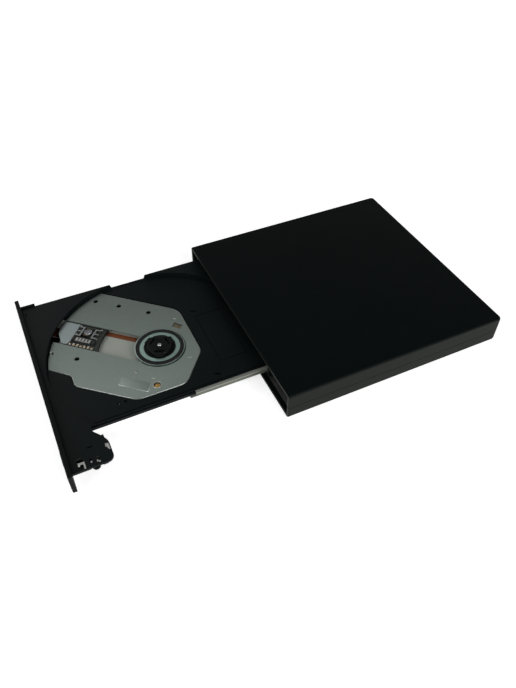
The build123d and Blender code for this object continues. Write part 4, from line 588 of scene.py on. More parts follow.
@dataclass(frozen=True)
class WoundWire(Finish):
    """Enamelled copper wire, turn beside turn."""

    wire: float = 0.14 * MM

    def surface(self, paint: Paint) -> Signal:
        """Builds the turns."""
        place = paint.place()
        turn = ((paint.part(place, "Z") / self.wire).fraction() - 0.5).size()
        colour, cloud = self.clouded(paint, place)
        colour = paint.mix(turn * 1.2, colour, shade(self.colour, 0.35))
        rough = self.roughness + (cloud - 0.5) * 0.1 + turn * 0.2
        return paint.principled(colour, rough, (1 - turn, self.wire * 0.4), Metallic=0.8)


@dataclass(frozen=True)
class CoatedLens(Finish):
    """Clear moulded lens with a faintly tinted coating."""

    def surface(self, paint: Paint) -> Signal:
        """Builds the tint and a polished skin."""
        place = paint.place()
        colour, cloud = self.clouded(paint, place)
        rough = self.roughness + (cloud - 0.5) * 0.02
        return paint.principled(
            colour, rough, Transmission_Weight=0.85, IOR=1.52, Coat_Weight=0.6, Coat_Roughness=0.02
        )


class Finishes(Enum):
    """The finishes of this drive."""

    # The case's wall colour is painted light: its sides are made lighter than its top for the lamps'
    # brighter light on them.
    CASE = MouldedPlastic("case_moulding", (0.003, 0.005, 0.0048), 0.47, 0.1, 30 * MM, gloss=0.05,
                          dust=0.04, wall=(0.0165, 0.0205, 0.0165))
    TRAY = MouldedPlastic("tray_moulding", (0.0042, 0.007, 0.007), 0.42, 0.12, 25 * MM, 0.3 * MM,
                          0.008 * MM, gloss=0.1, dust=0.08)
    BEZEL = MouldedPlastic("bezel_moulding", (0.0036, 0.0054, 0.0048), 0.48, 0.1, gloss=0.08)
    BUTTON = MouldedPlastic("button_moulding", (0.008, 0.009, 0.0095), 0.3, 0.1, depth=0.004 * MM,
                            gloss=0.4)
    HUB = MouldedPlastic("hub_moulding", (0.003, 0.005, 0.0046), 0.36, 0.15, 4 * MM, depth=0.006 * MM,
                         gloss=0.16)
    # Flat black for painted shade: caps under the cover's holes and a pad where the deck's shadow falls.
    PIT = MouldedPlastic("pit_black", (0.0008, 0.001, 0.0009), 0.9, 0.1, gloss=0.02)
    GUIDE = MouldedPlastic("guide_moulding", (0.006, 0.0065, 0.006), 0.5, 0.1, gloss=0.1)
    SOCKET_BODY = MouldedPlastic("socket_moulding", (0.012, 0.012, 0.013), 0.4, 0.1)
    CHIP = MouldedPlastic("chip_moulding", (0.016, 0.016, 0.017), 0.55, 0.15, 3 * MM, 0.1 * MM, 0.01 * MM)
    LAMP = MouldedPlastic("lamp_moulding", (0.2, 0.27, 0.2), 0.2, 0.1, depth=0.002 * MM, gloss=0.6)
    CERAMIC = MouldedPlastic("ceramic_body", (0.46, 0.40, 0.27), 0.45, 0.2, 1 * MM)
    FOOT = SoftRubber("foot_skin", (0.014, 0.014, 0.014), 0.75)
    PAD = SoftRubber("disc_pad_skin", (0.010, 0.011, 0.011), 0.62, cloud=5 * MM)
    DAMPER = SoftRubber("damper_skin", (0.02, 0.02, 0.02), 0.7, cloud=3 * MM)
    # The cover plate's darker left is painted shade.
    COVER_PLATE = RolledSheet("cover_plate_sheet", (0.335, 0.395, 0.355), 0.5, 0.07, 30 * MM, streak=0.1,
                              along=math.radians(52), metal=0.75, spangle=0.05,
                              painted_shade=(-43 * MM, 21 * MM, 0.56))
    # Metal lighter than the sheets it lies on: partly real plating, partly a painted highlight on the
    # cover's rolled edge, panel lip, eyelet and marks and on the turntable's rim.
    BRIGHT_EDGE = PlatedMetal("rolled_edge", (0.72, 0.75, 0.73), 0.3, 0.08, 6 * MM)
    PAN = RolledSheet("housing_sheet", (0.38, 0.39, 0.38), 0.38, spangle=0.25)
    SHIELD = RolledSheet("shield_sheet", (0.4, 0.41, 0.4), 0.35, along=math.radians(90), spangle=0.15)
    RAIL = RolledSheet("rail_sheet", (0.34, 0.355, 0.315), 0.45, 0.1, along=math.radians(90), metal=0.6)
    PICKUP_COVER = RolledSheet("pickup_cover_sheet", (0.31, 0.36, 0.36), 0.4, along=math.radians(52),
                               metal=0.8)
    SLED = CastMetal("sled_casting", (0.055, 0.062, 0.056), 0.5, 0.2, 4 * MM)
    OPTICS = CastMetal("optics_casting", (0.24, 0.25, 0.24), 0.42, 0.2, 2 * MM, grain=0.9 * MM, pits=0.9)
    BASE = DottedSheet("frame_floor", (0.43, 0.46, 0.41), 0.5)
    TURNTABLE = TurnedMetal("turntable_turning", (0.44, 0.61, 0.55), 0.36, 0.08, 8 * MM,
                            tuple(WAY.spindle))
    SHAFT = TurnedMetal("shaft_turning", (0.5, 0.5, 0.5), 0.25, 0.05, 2 * MM, tuple(WAY.spindle),
                        0.12 * MM)
    ROD = PlatedMetal("rod_steel", (0.55, 0.55, 0.55), 0.18, 0.05)
    MOTOR = PlatedMetal("motor_steel", (0.36, 0.36, 0.35), 0.35)
    SCREW = PlatedMetal("screw_steel", (0.34, 0.34, 0.34), 0.32)
    BLACK_SCREW = PlatedMetal("black_screw", (0.03, 0.03, 0.032), 0.4, metal=0.6)
    SOCKET = PlatedMetal("socket_shell", (0.55, 0.55, 0.54), 0.25)
    GOLD = PlatedMetal("contact_gold", (0.62, 0.42, 0.16), 0.28, 0.1, 2 * MM)
    SOLDER = PlatedMetal("solder_tin", (0.42, 0.42, 0.40), 0.36, 0.25, 0.8 * MM)
    MAGNET = PlatedMetal("magnet_nickel", (0.24, 0.25, 0.25), 0.35, 0.15, 1.5 * MM)
    BOARD = CircuitMask("board_mask", (0.012, 0.065, 0.028), 0.38)
    BLACK_BOARD = CircuitMask("switch_board_mask", (0.004, 0.005, 0.004), 0.5,
                              copper=(0.008, 0.009, 0.008))
    # The film's darkening away from the spindle is painted shade.
    FLEX = TrackedFilm("amber_film", (0.13, 0.035, 0.012), 0.4, along=WAY.angle,
                       track=(0.27, 0.085, 0.03), painted_shade=(30 * MM, 40 * MM))
    RIBBON = TrackedFilm("ribbon_film", (0.5, 0.47, 0.4), 0.35, track=(0.3, 0.3, 0.29), pitch=1.0 * MM)
    DARK_COIL = WoundWire("coil_wire", (0.10, 0.06, 0.035), 0.4)
    LENS = CoatedLens("lens_coating", (0.82, 0.86, 0.93), 0.03, 0.05, 2 * MM)


NODE_FINISHES: dict[Finishes, tuple[str, ...]] = {
    Finishes.CASE: ("top_shell", "bottom_shell"),
    Finishes.FOOT: ("rubber_feet",),
    Finishes.SCREW: ("case_screws", "cover_screws", "shield_screws"),
    Finishes.BLACK_SCREW: ("drive_screws",),
    Finishes.PAN: ("drive_chassis", "drive_top_cover", "latch_catch"),
    Finishes.SHIELD: ("tray_shield",),
    Finishes.RAIL: ("slide_rail_right", "slide_rail_left"),
    Finishes.GUIDE: ("rail_guide_right", "rail_guide_left", "ejector_housing", "ejector_pusher"),
    Finishes.BOARD: ("main_board", "bridge_board"),
    Finishes.BLACK_BOARD: ("lobe_board",),
    Finishes.GOLD: ("traverse_screws",),
    Finishes.CHIP: ("main_chips", "bridge_chip"),
    Finishes.SOCKET_BODY: ("drive_connector", "bridge_connector", "power_jack"),
    Finishes.SOCKET: ("usb_socket",),
    Finishes.RIBBON: ("tray_ribbon",),
    Finishes.TRAY: ("tray", "latch_lever"),
    Finishes.BEZEL: ("bezel",),
    Finishes.BUTTON: ("eject_button",),
    Finishes.LAMP: ("lamp_pipe",),
    Finishes.MAGNET: ("latch_solenoid", "actuator_frame"),
    Finishes.SOLDER: ("latch_plates", "pickup_contacts"),
    Finishes.COVER_PLATE: ("traverse_cover",),
    Finishes.BASE: ("traverse_base",),
    Finishes.DAMPER: ("rubber_dampers",),
    Finishes.ROD: ("guide_rods", "lead_screw", "ejector_spring"),
    Finishes.MOTOR: ("sled_motor", "spindle_motor"),
    Finishes.FLEX: ("pickup_flex",),
    Finishes.TURNTABLE: ("turntable",),
    Finishes.PAD: ("turntable_pad",),
    Finishes.HUB: ("spindle_hub", "hub_claw_1", "hub_claw_2", "hub_claw_3", "lens_holder"),
    Finishes.SHAFT: ("spindle_shaft",),
    Finishes.SLED: ("pickup_sled",),
    Finishes.PICKUP_COVER: ("pickup_cover",),
    Finishes.LENS: ("objective_lens",),
    Finishes.OPTICS: ("laser_diode",),
}


def dress_nodes() -> None:
    """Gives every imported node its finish, through its object's own material slots."""
    for finish, names in NODE_FINISHES.items():
        for name in names:
            node = frame["nodes"][name]
            for slot in node.material_slots:
                slot.link = "OBJECT"
                slot.material = finish.value.material()
            LOG.info("%s takes %s", name, finish.value.name)
    left = set(frame["nodes"]) - {name for names in NODE_FINISHES.values() for name in names}
    if left:
        raise ValueError(f"no finish for {sorted(left)}")


class Sprout(Tree):
    """A Geometry Nodes tree with named inputs, which is grown into one plain mesh."""

    KINDS = {int: "Int", float: "Float", bpy.types.Material: "Material"}

    def __init__(self, name: str) -> None:
        """Starts a tree that takes a geometry and gives one."""
        super().__init__(bpy.data.node_groups.new(name, "GeometryNodeTree"))
        face = self.tree.interface
        face.new_socket("Geometry", in_out="INPUT", socket_type="NodeSocketGeometry")
        face.new_socket("Geometry", in_out="OUTPUT", socket_type="NodeSocketGeometry")
        self.values: dict[str, Any] = {}
        self.entry = self.tree.nodes.new("NodeGroupInput")

    def asks(self, **wanted: Any) -> list[Signal]:
        """Adds named inputs, each of the type that its value has; what KINDS leaves out is a vector.

        Args:
            wanted: What each is set to before the tree is evaluated, with _ for a space in the name.

        Returns:
            The inputs' signals, in the same order.
        """
        signals = []
        for name, value in spaced(wanted).items():
            kind = "NodeSocket" + self.KINDS.get(type(value), "Vector")
            socket = self.tree.interface.new_socket(name, in_out="INPUT", socket_type=kind)
            self.values[socket.identifier] = value
            signals.append(Signal(self, self.entry.outputs[name]))
        return signals

    def geo(self, kind: str, **inputs: Any) -> Signal:
        """Adds a Geometry node; an input's name has _ for a space."""
        return self.node("GeometryNode" + kind, inputs=spaced(inputs))

    def wire(self, curve: Signal, radius: Signal) -> Signal:
        """Makes a curve into a round closed tube."""
        profile = self.geo("CurvePrimitiveCircle", Resolution=10, Radius=radius)
        return self.geo("CurveToMesh", Curve=curve, Profile_Curve=profile, Fill_Caps=True)

    def grow(
        self, form: Signal, finish: Finishes, seed: Optional[bpy.types.Mesh] = None
    ) -> bpy.types.Object:
        """Ends the tree, evaluates it and keeps the result as a plain mesh.

        Args:
            form: The geometry to end with.
            finish: Its finish.
            seed: The mesh that the tree starts from.

        Returns:
            The new object, without its modifier.
        """
        coat, = self.asks(Finish=finish.value.material())
        whole = self.geo("RealizeInstances", Geometry=form)
        coated = self.geo("SetMaterial", Geometry=whole, Material=coat)
        self.node("NodeGroupOutput", inputs={"Geometry": coated})
        name = self.tree.name
        piece = put(name, seed or bpy.data.meshes.new(name + "_seed"))
        modifier = piece.modifiers.new("grow", "NODES")
        modifier.node_group = self.tree
        for identifier, value in self.values.items():
            modifier[identifier] = value
        graph = bpy.context.evaluated_depsgraph_get()
        mesh = bpy.data.meshes.new_from_object(piece.evaluated_get(graph))
        mesh.name = name
        piece.modifiers.remove(modifier)
        piece.data = mesh
        return piece


def host_facts(node: str) -> tuple[str, str]:
    """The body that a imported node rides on, and its material slot."""
    record = frame["record"]
    bodies = record["behaviour"]["bodies"]
    body = next(name for name, nodes in bodies.items() if node in nodes)
    slot = next(part["material_slot"] for part in record["subparts"] if part["node"] == node)
    return body, slot


def settle(piece: bpy.types.Object, host: str, stands_for: Sequence[str] = ()) -> None:
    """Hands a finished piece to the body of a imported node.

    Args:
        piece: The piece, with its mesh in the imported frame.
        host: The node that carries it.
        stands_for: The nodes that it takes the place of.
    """
    body, slot = host_facts(host)
    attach(piece, body)
    if stands_for:
        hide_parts(*stands_for)
    LOG.info("%s on %s: %d faces", piece.name, body, len(piece.data.polygons))


@dataclass(frozen=True)
class BoxRow:
    """Small boxes repeated in one straight line or more."""

    name: str
    count: int
    start: Vector
    step: Vector
    size: Size
    turn: float = 0.0
    lines: int = 1
    line_step: Vector = Vector((0.0, 0.0, 0.0))

    def make(self, finish: Finishes, host: str) -> None:
        """Grows the rows as one piece on a host."""
        tree = Sprout(self.name)
        count, start, step, lines, line_step, size, turn = tree.asks(
            Count=self.count, Start=self.start, Step=self.step, Lines=self.lines,
            Line_Step=self.line_step, Size=metres(self.size), Turn=(0.0, 0.0, self.turn),
        )
        box = tree.geo("MeshCube", Size=size)
        line = tree.geo("MeshLine", Count=count, Offset=step)
        row = tree.geo("InstanceOnPoints", Points=line, Instance=box, Rotation=turn)
        whole = tree.geo("MeshLine", Count=lines, Start_Location=start, Offset=line_step)
        rows = tree.geo("InstanceOnPoints", Points=whole, Instance=row)
        settle(tree.grow(rows, finish), host)


@dataclass(frozen=True)
class BoxRing:
    """Small boxes repeated on a circle, each turned to face outwards."""

    name: str
    count: int
    centre: Vector
    radius: float
    size: Size
    gaps: int = 1
    gap_angle: float = 0.0
    gap_half: float = 0.0

    def make(self, finish: Finishes, host: str) -> None:
        """Grows the ring as one piece on a host, apart from its evenly spread gaps."""
        tree = Sprout(self.name)
        count, radius, size, centre, gaps, gap_angle, limit = tree.asks(
            Count=self.count, Radius=self.radius * MM, Size=metres(self.size), Centre=self.centre,
            Gaps=float(self.gaps), Gap_Angle=self.gap_angle,
            Gap_Limit=math.cos(self.gaps * self.gap_half) + 1e-6,
        )
        box = tree.geo("MeshCube", Size=size)
        circle = tree.geo("MeshCircle", Vertices=count, Radius=radius)
        outward = tree.geo("InputPosition")
        sides = [tree.node("ShaderNodeSeparateXYZ", inputs={0: outward}, output=axis) for axis in "YX"]
        angle = tree.node("ShaderNodeMath", {"operation": "ARCTAN2"}, {0: sides[0], 1: sides[1]})
        closeness = tree.node("ShaderNodeMath", {"operation": "COSINE"}, {0: (angle - gap_angle) * gaps})
        turn = tree.node("FunctionNodeAlignRotationToVector", {"axis": "X"}, {"Vector": outward})
        chosen = closeness < limit
        ring = tree.geo("InstanceOnPoints", Points=circle, Selection=chosen, Instance=box, Rotation=turn)
        placed = tree.geo("Transform", Geometry=ring, Translation=centre)
        settle(tree.grow(placed, finish), host)


@dataclass(frozen=True)
class WireCoil:
    """Round wire wound evenly about a straight axis."""

    name: str
    start: Vector
    axis: Vector
    length: float
    radius: float
    wire: float
    turns: float

    def make(self, finish: Finishes, host: str, stands_for: Sequence[str] = ()) -> None:
        """Grows the coil as one piece on a host."""
        tree = Sprout(self.name)
        radius, wire, height, turns, start, turn = tree.asks(
            Radius=self.radius * MM, Wire=self.wire * MM, Length=self.length * MM, Turns=self.turns,
            Start=self.start, Turn=tuple(self.axis.to_track_quat("Z", "Y").to_euler()),
        )
        spiral = tree.geo(
            "CurveSpiral", Resolution=20, Rotations=turns, Start_Radius=radius, End_Radius=radius,
            Height=height,
        )
        tube = tree.wire(spiral, wire)
        placed = tree.geo("Transform", Geometry=tube, Translation=start, Rotation=turn)
        smooth = tree.geo("SetShadeSmooth", Geometry=placed)
        settle(tree.grow(smooth, finish), host, stands_for)


@dataclass(frozen=True)
class WirePaths:
    """Round wires or beads that follow lines of points."""

    name: str
    paths: Sequence[Sequence[Vector]]
    radius: float

    def make(self, finish: Finishes, host: str) -> None:
        """Grows the wires as one piece on a host."""
        points = [tuple(point) for path in self.paths for point in path]
        edges, first = [], 0
        for path in self.paths:
            edges += [(first + index, first + index + 1) for index in range(len(path) - 1)]
            first += len(path)
        seed = bpy.data.meshes.new(self.name + "_path")
        seed.from_pydata(points, edges, [])
        tree = Sprout(self.name)
        wire, = tree.asks(Wire=self.radius * MM)
        curve = tree.geo("MeshToCurve", Mesh=Signal(tree, tree.entry.outputs["Geometry"]))
        smooth = tree.geo("SetShadeSmooth", Geometry=tree.wire(curve, wire))
        settle(tree.grow(smooth, finish, seed), host)


class Shape:
    """A mesh that is put together from simple closed forms."""

    def __init__(self) -> None:
        """Starts empty."""
        self.mesh = bmesh.new()

    def block(self, centre: Vector, size: Point, turn: float = 0.0) -> "Shape":
        """Adds a box.

        Args:
            centre: Its middle.
            size: Its sides, in millimetres.
            turn: Its turn about Z, in radians.

        Returns:
            The shape itself.
        """
        scale = Matrix.Diagonal((*metres(size), 1.0))
        place = Matrix.Translation(centre) @ Matrix.Rotation(turn, 4, "Z") @ scale
        bmesh.ops.create_cube(self.mesh, size=1.0, matrix=place)
        return self

    def disc(self, foot: Vector, radius: float, height: float, top: Optional[float] = None) -> "Shape":
        """Adds an upright round plate, whose top may be narrower than its foot."""
        middle = foot + Vector((0.0, 0.0, height * MM / 2))
        bmesh.ops.create_cone(
            self.mesh, cap_ends=True, segments=40, radius1=radius * MM,
            radius2=(radius if top is None else top) * MM, depth=height * MM,
            matrix=Matrix.Translation(middle),
        )
        return self

    def ring(self, centre: Vector, radius: float, thick: float, sides: int = 64) -> "Shape":
        """Adds a flat-lying round bead."""
        turns = [math.tau * step / 10 for step in range(10)]
        bead = [Vector((radius + thick * math.cos(a), 0.0, thick * math.sin(a))) * MM for a in turns]
        loop = [self.mesh.verts.new(centre + point) for point in bead]
        edges = [self.mesh.edges.new(pair) for pair in zip(loop, loop[1:] + loop[:1])]
        bmesh.ops.spin(
            self.mesh, geom=loop + edges, cent=centre, axis=(0, 0, 1), angle=math.tau, steps=sides
        )
        return self

    def plate(self, outline: Sequence[Vector], height: float) -> "Shape":
        """Adds a plate that stands on an outline."""
        low = self.mesh.faces.new([self.mesh.verts.new(point) for point in outline])
        grown = bmesh.ops.extrude_face_region(self.mesh, geom=[low])["geom"]
        corners = [item for item in grown if isinstance(item, bmesh.types.BMVert)]
        bmesh.ops.translate(self.mesh, verts=corners, vec=(0, 0, height * MM))
        return self

    def soften(self, width: float, angle: float = 30.0) -> "Shape":
        """Rounds every edge that is sharper than an angle."""
        bmesh.ops.remove_doubles(self.mesh, verts=self.mesh.verts, dist=1e-6)
        bmesh.ops.recalc_face_normals(self.mesh, faces=self.mesh.faces)
        sharp = [edge for edge in self.mesh.edges if edge.calc_face_angle(0.0) > math.radians(angle)]
        bmesh.ops.bevel(
            self.mesh, geom=sharp, offset=width * MM, segments=2, profile=0.6, affect="EDGES",
            clamp_overlap=True,
        )
        return self

    def make(self, name: str, finish: Finishes, host: str, stands_for: Sequence[str] = ()) -> None:
        """Ends the shape as one piece on a host."""
        bmesh.ops.remove_doubles(self.mesh, verts=self.mesh.verts, dist=2e-6)
        bmesh.ops.recalc_face_normals(self.mesh, faces=self.mesh.faces)
        for face in self.mesh.faces:
            face.smooth = True
        for edge in self.mesh.edges:
            edge.smooth = edge.calc_face_angle(0.0) < math.radians(35)
        mesh = bpy.data.meshes.new(name)
        self.mesh.to_mesh(mesh)
        self.mesh.free()
        mesh.materials.append(finish.value.material())
        settle(put(name, mesh), host, stands_for)


def copied(node: str) -> Shape:
    """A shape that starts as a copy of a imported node's mesh, with its split corners merged."""
    shape = Shape()
    shape.mesh.from_mesh(frame["nodes"][node].data)
    bmesh.ops.remove_doubles(shape.mesh, verts=shape.mesh.verts, dist=1e-6)
    bmesh.ops.dissolve_limit(
        shape.mesh, angle_limit=math.radians(0.5), verts=shape.mesh.verts, edges=shape.mesh.edges
    )
    return shape


@dataclass(frozen=True)
class TraversePlate:
    """What shows on the sheet cover over the traverse, and black pads of painted shade that stand for
    depth under it.

    Panel, pin, eyelet, marks and window are places as spot() takes them, in millimetres. The holes are
    counted from the spindle, and the slot's sides across the pickup's way.
    """

    host: str = "traverse_cover"
    roll: float = 0.2
    table_room: float = 15.0
    slot_sides: Spot = (-12.9, 5.0)
    panel: tuple[Spot, ...] = ((9.3, -68.9), (14.5, -72.2), (25.3, -59.9), (20.6, -56.4))
    pin: Spot = (9.7, -61.3)
    eyelet: Spot = (22.9, -54.0)
    marks: tuple[Spot, ...] = ((-20.8, -28.5), (11.2, -31.4), (16.9, -54.0))
    mark_radius: float = 1.1
    mark_turn: float = math.radians(-25)
    window: Spot = (-14.0, -29.4)
    window_turn: float = math.radians(41)
    spring_step: float = 1.5
    holes: tuple[Spot, ...] = (
        (-51.5, -22.0), (-41.9, -10.8), (-29.4, 3.2), (-20.5, -54.8), (-10.8, -43.3),
    )
    cap_radius: float = 1.75
    tip: Size = (60.0, -9.6, 3.86)

    def over(self, place: Spot, lift: float = 0.0) -> Vector:
        """A place some millimetres over the plate's upper face."""
        return spot(*place, top_of(self.host) + lift)

    def beads(self, name: str, paths: Sequence[Sequence[Vector]], radius: float) -> None:
        """Wires on the plate in bright metal, whose lighter colour is a painted highlight."""
        WirePaths(name, paths, radius).make(Finishes.BRIGHT_EDGE, self.host)

    def arc(self, middle: Spot) -> list[Vector]:
        """The line of one hook mark."""
        x, y = middle
        reach = self.mark_radius
        turns = [self.mark_turn + math.radians(step) for step in range(-60, 61, 20)]
        return [self.over((x + reach * math.cos(a), y + reach * math.sin(a))) for a in turns]

    def rim(self) -> list[Vector]:
        """The outer edge of the plate's upper face, from one side of the pickup's slot to the other."""
        shape = copied(self.host)
        high = max(vert.co.z for vert in shape.mesh.verts) - 1e-6
        top = {face for face in shape.mesh.faces if min(vert.co.z for vert in face.verts) > high}
        near: dict[bmesh.types.BMVert, list[bmesh.types.BMVert]] = {}
        for edge in shape.mesh.edges:
            if len(top.intersection(edge.link_faces)) == 1:
                one, other = edge.verts
                near.setdefault(one, []).append(other)
                near.setdefault(other, []).append(one)
        start = max(near, key=lambda vert: (vert.co - WAY.spindle).to_2d().length)
        loop, here, last = [], start, None
        for _ in near:
            loop.append(here.co.copy())
            here, last = next(vert for vert in near[here] if vert != last), here
            if here == start:
                break
        shape.mesh.free()
        inside = [self.in_slot(point) for point in loop]
        cut = next(i for i in range(len(loop)) if inside[i - 1] and not inside[i])
        turned = loop[cut:] + loop[:cut]
        return [point for point in turned if not self.in_slot(point)]

    def in_slot(self, point: Vector) -> bool:
        """Whether a point lies on the slot's sides or round the turntable."""
        away = (point - WAY.spindle).to_3d()
        low, high = self.slot_sides
        beside = away.dot(WAY.out) > 0 and low < away.dot(WAY.across) / MM < high
        return away.to_2d().length < self.table_room * MM or beside

    def build(self) -> None:
        """Makes every piece."""
        edge = [point - Vector((0, 0, self.roll * MM)) for point in self.rim()]
        # painted highlight: a bead of bright metal along the plate's rim
        self.beads("cover_rolled_edge", [edge], self.roll)
        panel = Shape().plate([self.over(corner, -0.1) for corner in self.panel], 0.2).soften(0.08)
        panel.make("cover_stamped_panel", Finishes.COVER_PLATE, self.host)
        # painted highlight: a bright bead only along the panel's edges that face the light
        self.beads("cover_panel_lip", [[self.over(corner, 0.04) for corner in self.panel[1:]]], 0.16)
        pin = Shape().disc(self.over(self.pin, -0.1), 0.95, 0.5, 0.7).soften(0.12)
        pin.make("cover_pin", Finishes.MOTOR, self.host)
        eyelet = Shape().ring(self.over(self.eyelet, -0.02), 2.15, 0.24)
        eyelet.make("cover_eyelet", Finishes.BRIGHT_EDGE, self.host)
        # painted highlight, partly: the hook marks are beads of bright metal
        self.beads("cover_hook_marks", [self.arc(middle) for middle in self.marks], 0.13)
        self.springs()
        self.shadows()

    def shadows(self) -> None:
        """Painted shade: black caps under the plate's small holes, and a black pad for the deck's shadow
        in the frame's outer tip.
        """
        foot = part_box(self.host)[0].z - 0.5 * MM
        caps = Shape()
        for x, y in self.holes:
            caps.disc(WAY.spindle + Vector((x * MM, y * MM, foot)), self.cap_radius, 0.49)
        caps.make("hole_caps", Finishes.PIT, self.host)
        # painted shadow: a black pad where the deck's shadow falls in the frame's tip
        pad = Shape().block(WAY.at(*self.tip), (6.0, 5.6, 0.12), WAY.angle)
        pad.make("tip_pad", Finishes.PIT, "traverse_base")

    def springs(self) -> None:
        """The brass springs that show in the plate's window, over a dark sheet."""
        turn = self.window_turn
        middle = self.over(self.window, -0.75)
        sheet = Shape().block(middle, (4.6, 2.8, 0.1), turn)
        sheet.make("window_sheet", Finishes.MAGNET, self.host)
        step = Vector((math.cos(turn), math.sin(turn), 0)) * MM * self.spring_step
        first = middle - step + Vector((0, 0, 0.15 * MM))
        BoxRow("window_springs", 3, first, step, (0.6, 2.2, 0.16), turn).make(Finishes.GOLD, self.host)


@dataclass(frozen=True)
class SpindleUnit:
    """The hub's ribs, spokes and crown, and the turntable's rings and rim bead, whose bright colour is a
    painted highlight.
    """

    claws: int = 3
    claw_angle: float = math.radians(-20)
    claw_half: float = math.radians(25)
    rib_radius: float = 6.7
    spoke_radius: float = 3.1
    crown_radii: Spot = (2.4, 3.85)
    rim_radius: float = 13.46
    ring_radii: Spot = (9.1, 10.9)

    @staticmethod
    def axis(node: str, drop: float) -> Vector:
        """The place on the spindle's axis that is some millimetres under a node's upper face."""
        return WAY.spindle + Vector((0, 0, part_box(node)[1].z - drop * MM))

    def build(self) -> None:
        """Makes every piece."""
        ribs = self.axis("spindle_hub", 0.6)
        BoxRing(
            "hub_ribs", 36, ribs, self.rib_radius, (1.0, 0.4, 1.1), self.claws, self.claw_angle,
            self.claw_half,
        ).make(Finishes.HUB, "spindle_hub")
        crown = self.axis("spindle_hub", 0.02)
        inner, outer = self.crown_radii
        shape = Shape().ring(crown, inner, 0.3).ring(crown - Vector((0, 0, 0.03 * MM)), outer, 0.22)
        shape.make("hub_crown", Finishes.HUB, "spindle_hub")
        spokes = BoxRing("hub_spokes", 9, crown, self.spoke_radius, (1.2, 0.3, 0.3))
        spokes.make(Finishes.HUB, "spindle_hub")
        # painted highlight: a bead of bright metal round the turntable's rim
        rim = Shape().ring(self.axis("turntable", 0.16), self.rim_radius, 0.2, 128)
        rim.make("table_bright_rim", Finishes.BRIGHT_EDGE, "turntable")
        rings = Shape()
        for radius in self.ring_radii:
            rings.ring(self.axis("turntable", 0.06), radius, 0.12, 96)
        rings.make("table_rings", Finishes.TURNTABLE, "turntable")


@dataclass(frozen=True)
class PickupUnit:
    """The small parts on the laser pickup: lens ring, coils, lands, chips and solder, and dark blocks of
    painted shade for its slots.
    """

    lens_out: float = 43.0
    lens_across: float = -0.7
    lens_radius: float = 2.0
    coil_across: float = 2.45
    pins: tuple[Spot, ...] = ((-6.4, 3.6), (6.4, 3.6), (-6.4, -3.6), (6.2, -2.9))

    def at(self, out: float, across: float, z: float) -> Vector:
        """A place on the pickup, with its length out counted from the lens."""
        return WAY.at(self.lens_out + out, across, z)

    def row(self, name: str, first: Point, count: int, step: float, size: Size, finish: Finishes) -> None:
        """Boxes in a line along the pickup's way."""
        boxes = BoxRow(name, count, self.at(*first), WAY.out * (step * MM), size, WAY.angle)
        boxes.make(finish, "pickup_sled")

    def build(self) -> None:
        """Makes every piece."""
        top, holder = top_of("pickup_sled"), top_of("lens_holder")
        laser_top, land_top = top_of("laser_diode"), top_of("pickup_contacts")
        lens = Shape().ring(self.at(0, self.lens_across, holder), self.lens_radius, 0.2)
        lens.make("lens_ring", Finishes.SOLDER, "lens_holder")
        coils = Shape()
        for side in (-1, 1):
            across = self.lens_across + side * self.coil_across
            coils.block(self.at(0, across, holder - 0.25), (3.6, 0.5, 0.6), WAY.angle)
        coils.soften(0.1).make("focus_coils", Finishes.DARK_COIL, "lens_holder")
        self.row("laser_lands", (-3.8, -6.8, laser_top + 0.05), 5, 1.9, (1.1, 2.1, 0.2), Finishes.SOLDER)
        self.row("land_solder", (-7.1, -10.9, land_top + 0.04), 7, 2.2, (0.7, 0.7, 0.2), Finishes.GOLD)
        # painted shade: dark blocks stand for the shade inside the slots between the lands and the gaps on
        # the laser
        self.row("land_slots", (-6.8, -10.1, land_top + 0.04), 5, 3.2, (1.0, 0.8, 0.2), Finishes.CHIP)
        self.row("laser_slots", (-2.9, -6.3, laser_top + 0.08), 4, 1.9, (0.6, 1.0, 0.2), Finishes.CHIP)
        self.row("edge_chips", (-7.1, -9.0, top + 0.15), 7, 2.2, (0.9, 0.9, 0.5), Finishes.CHIP)
        chip = Shape().block(self.at(5.7, -6.8, top + 0.35), (1.8, 2.4, 0.9), WAY.angle)
        chip.block(self.at(-6.2, -6.8, top + 0.25), (2.0, 2.4, 0.7), WAY.angle)
        chip.soften(0.1).make("laser_driver", Finishes.CHIP, "pickup_sled")
        pins = Shape()
        for out, across in self.pins:
            pins.disc(self.at(out, across, top), 0.55, 0.45, 0.4)
        pins.make("actuator_pins", Finishes.SOLDER, "pickup_sled")


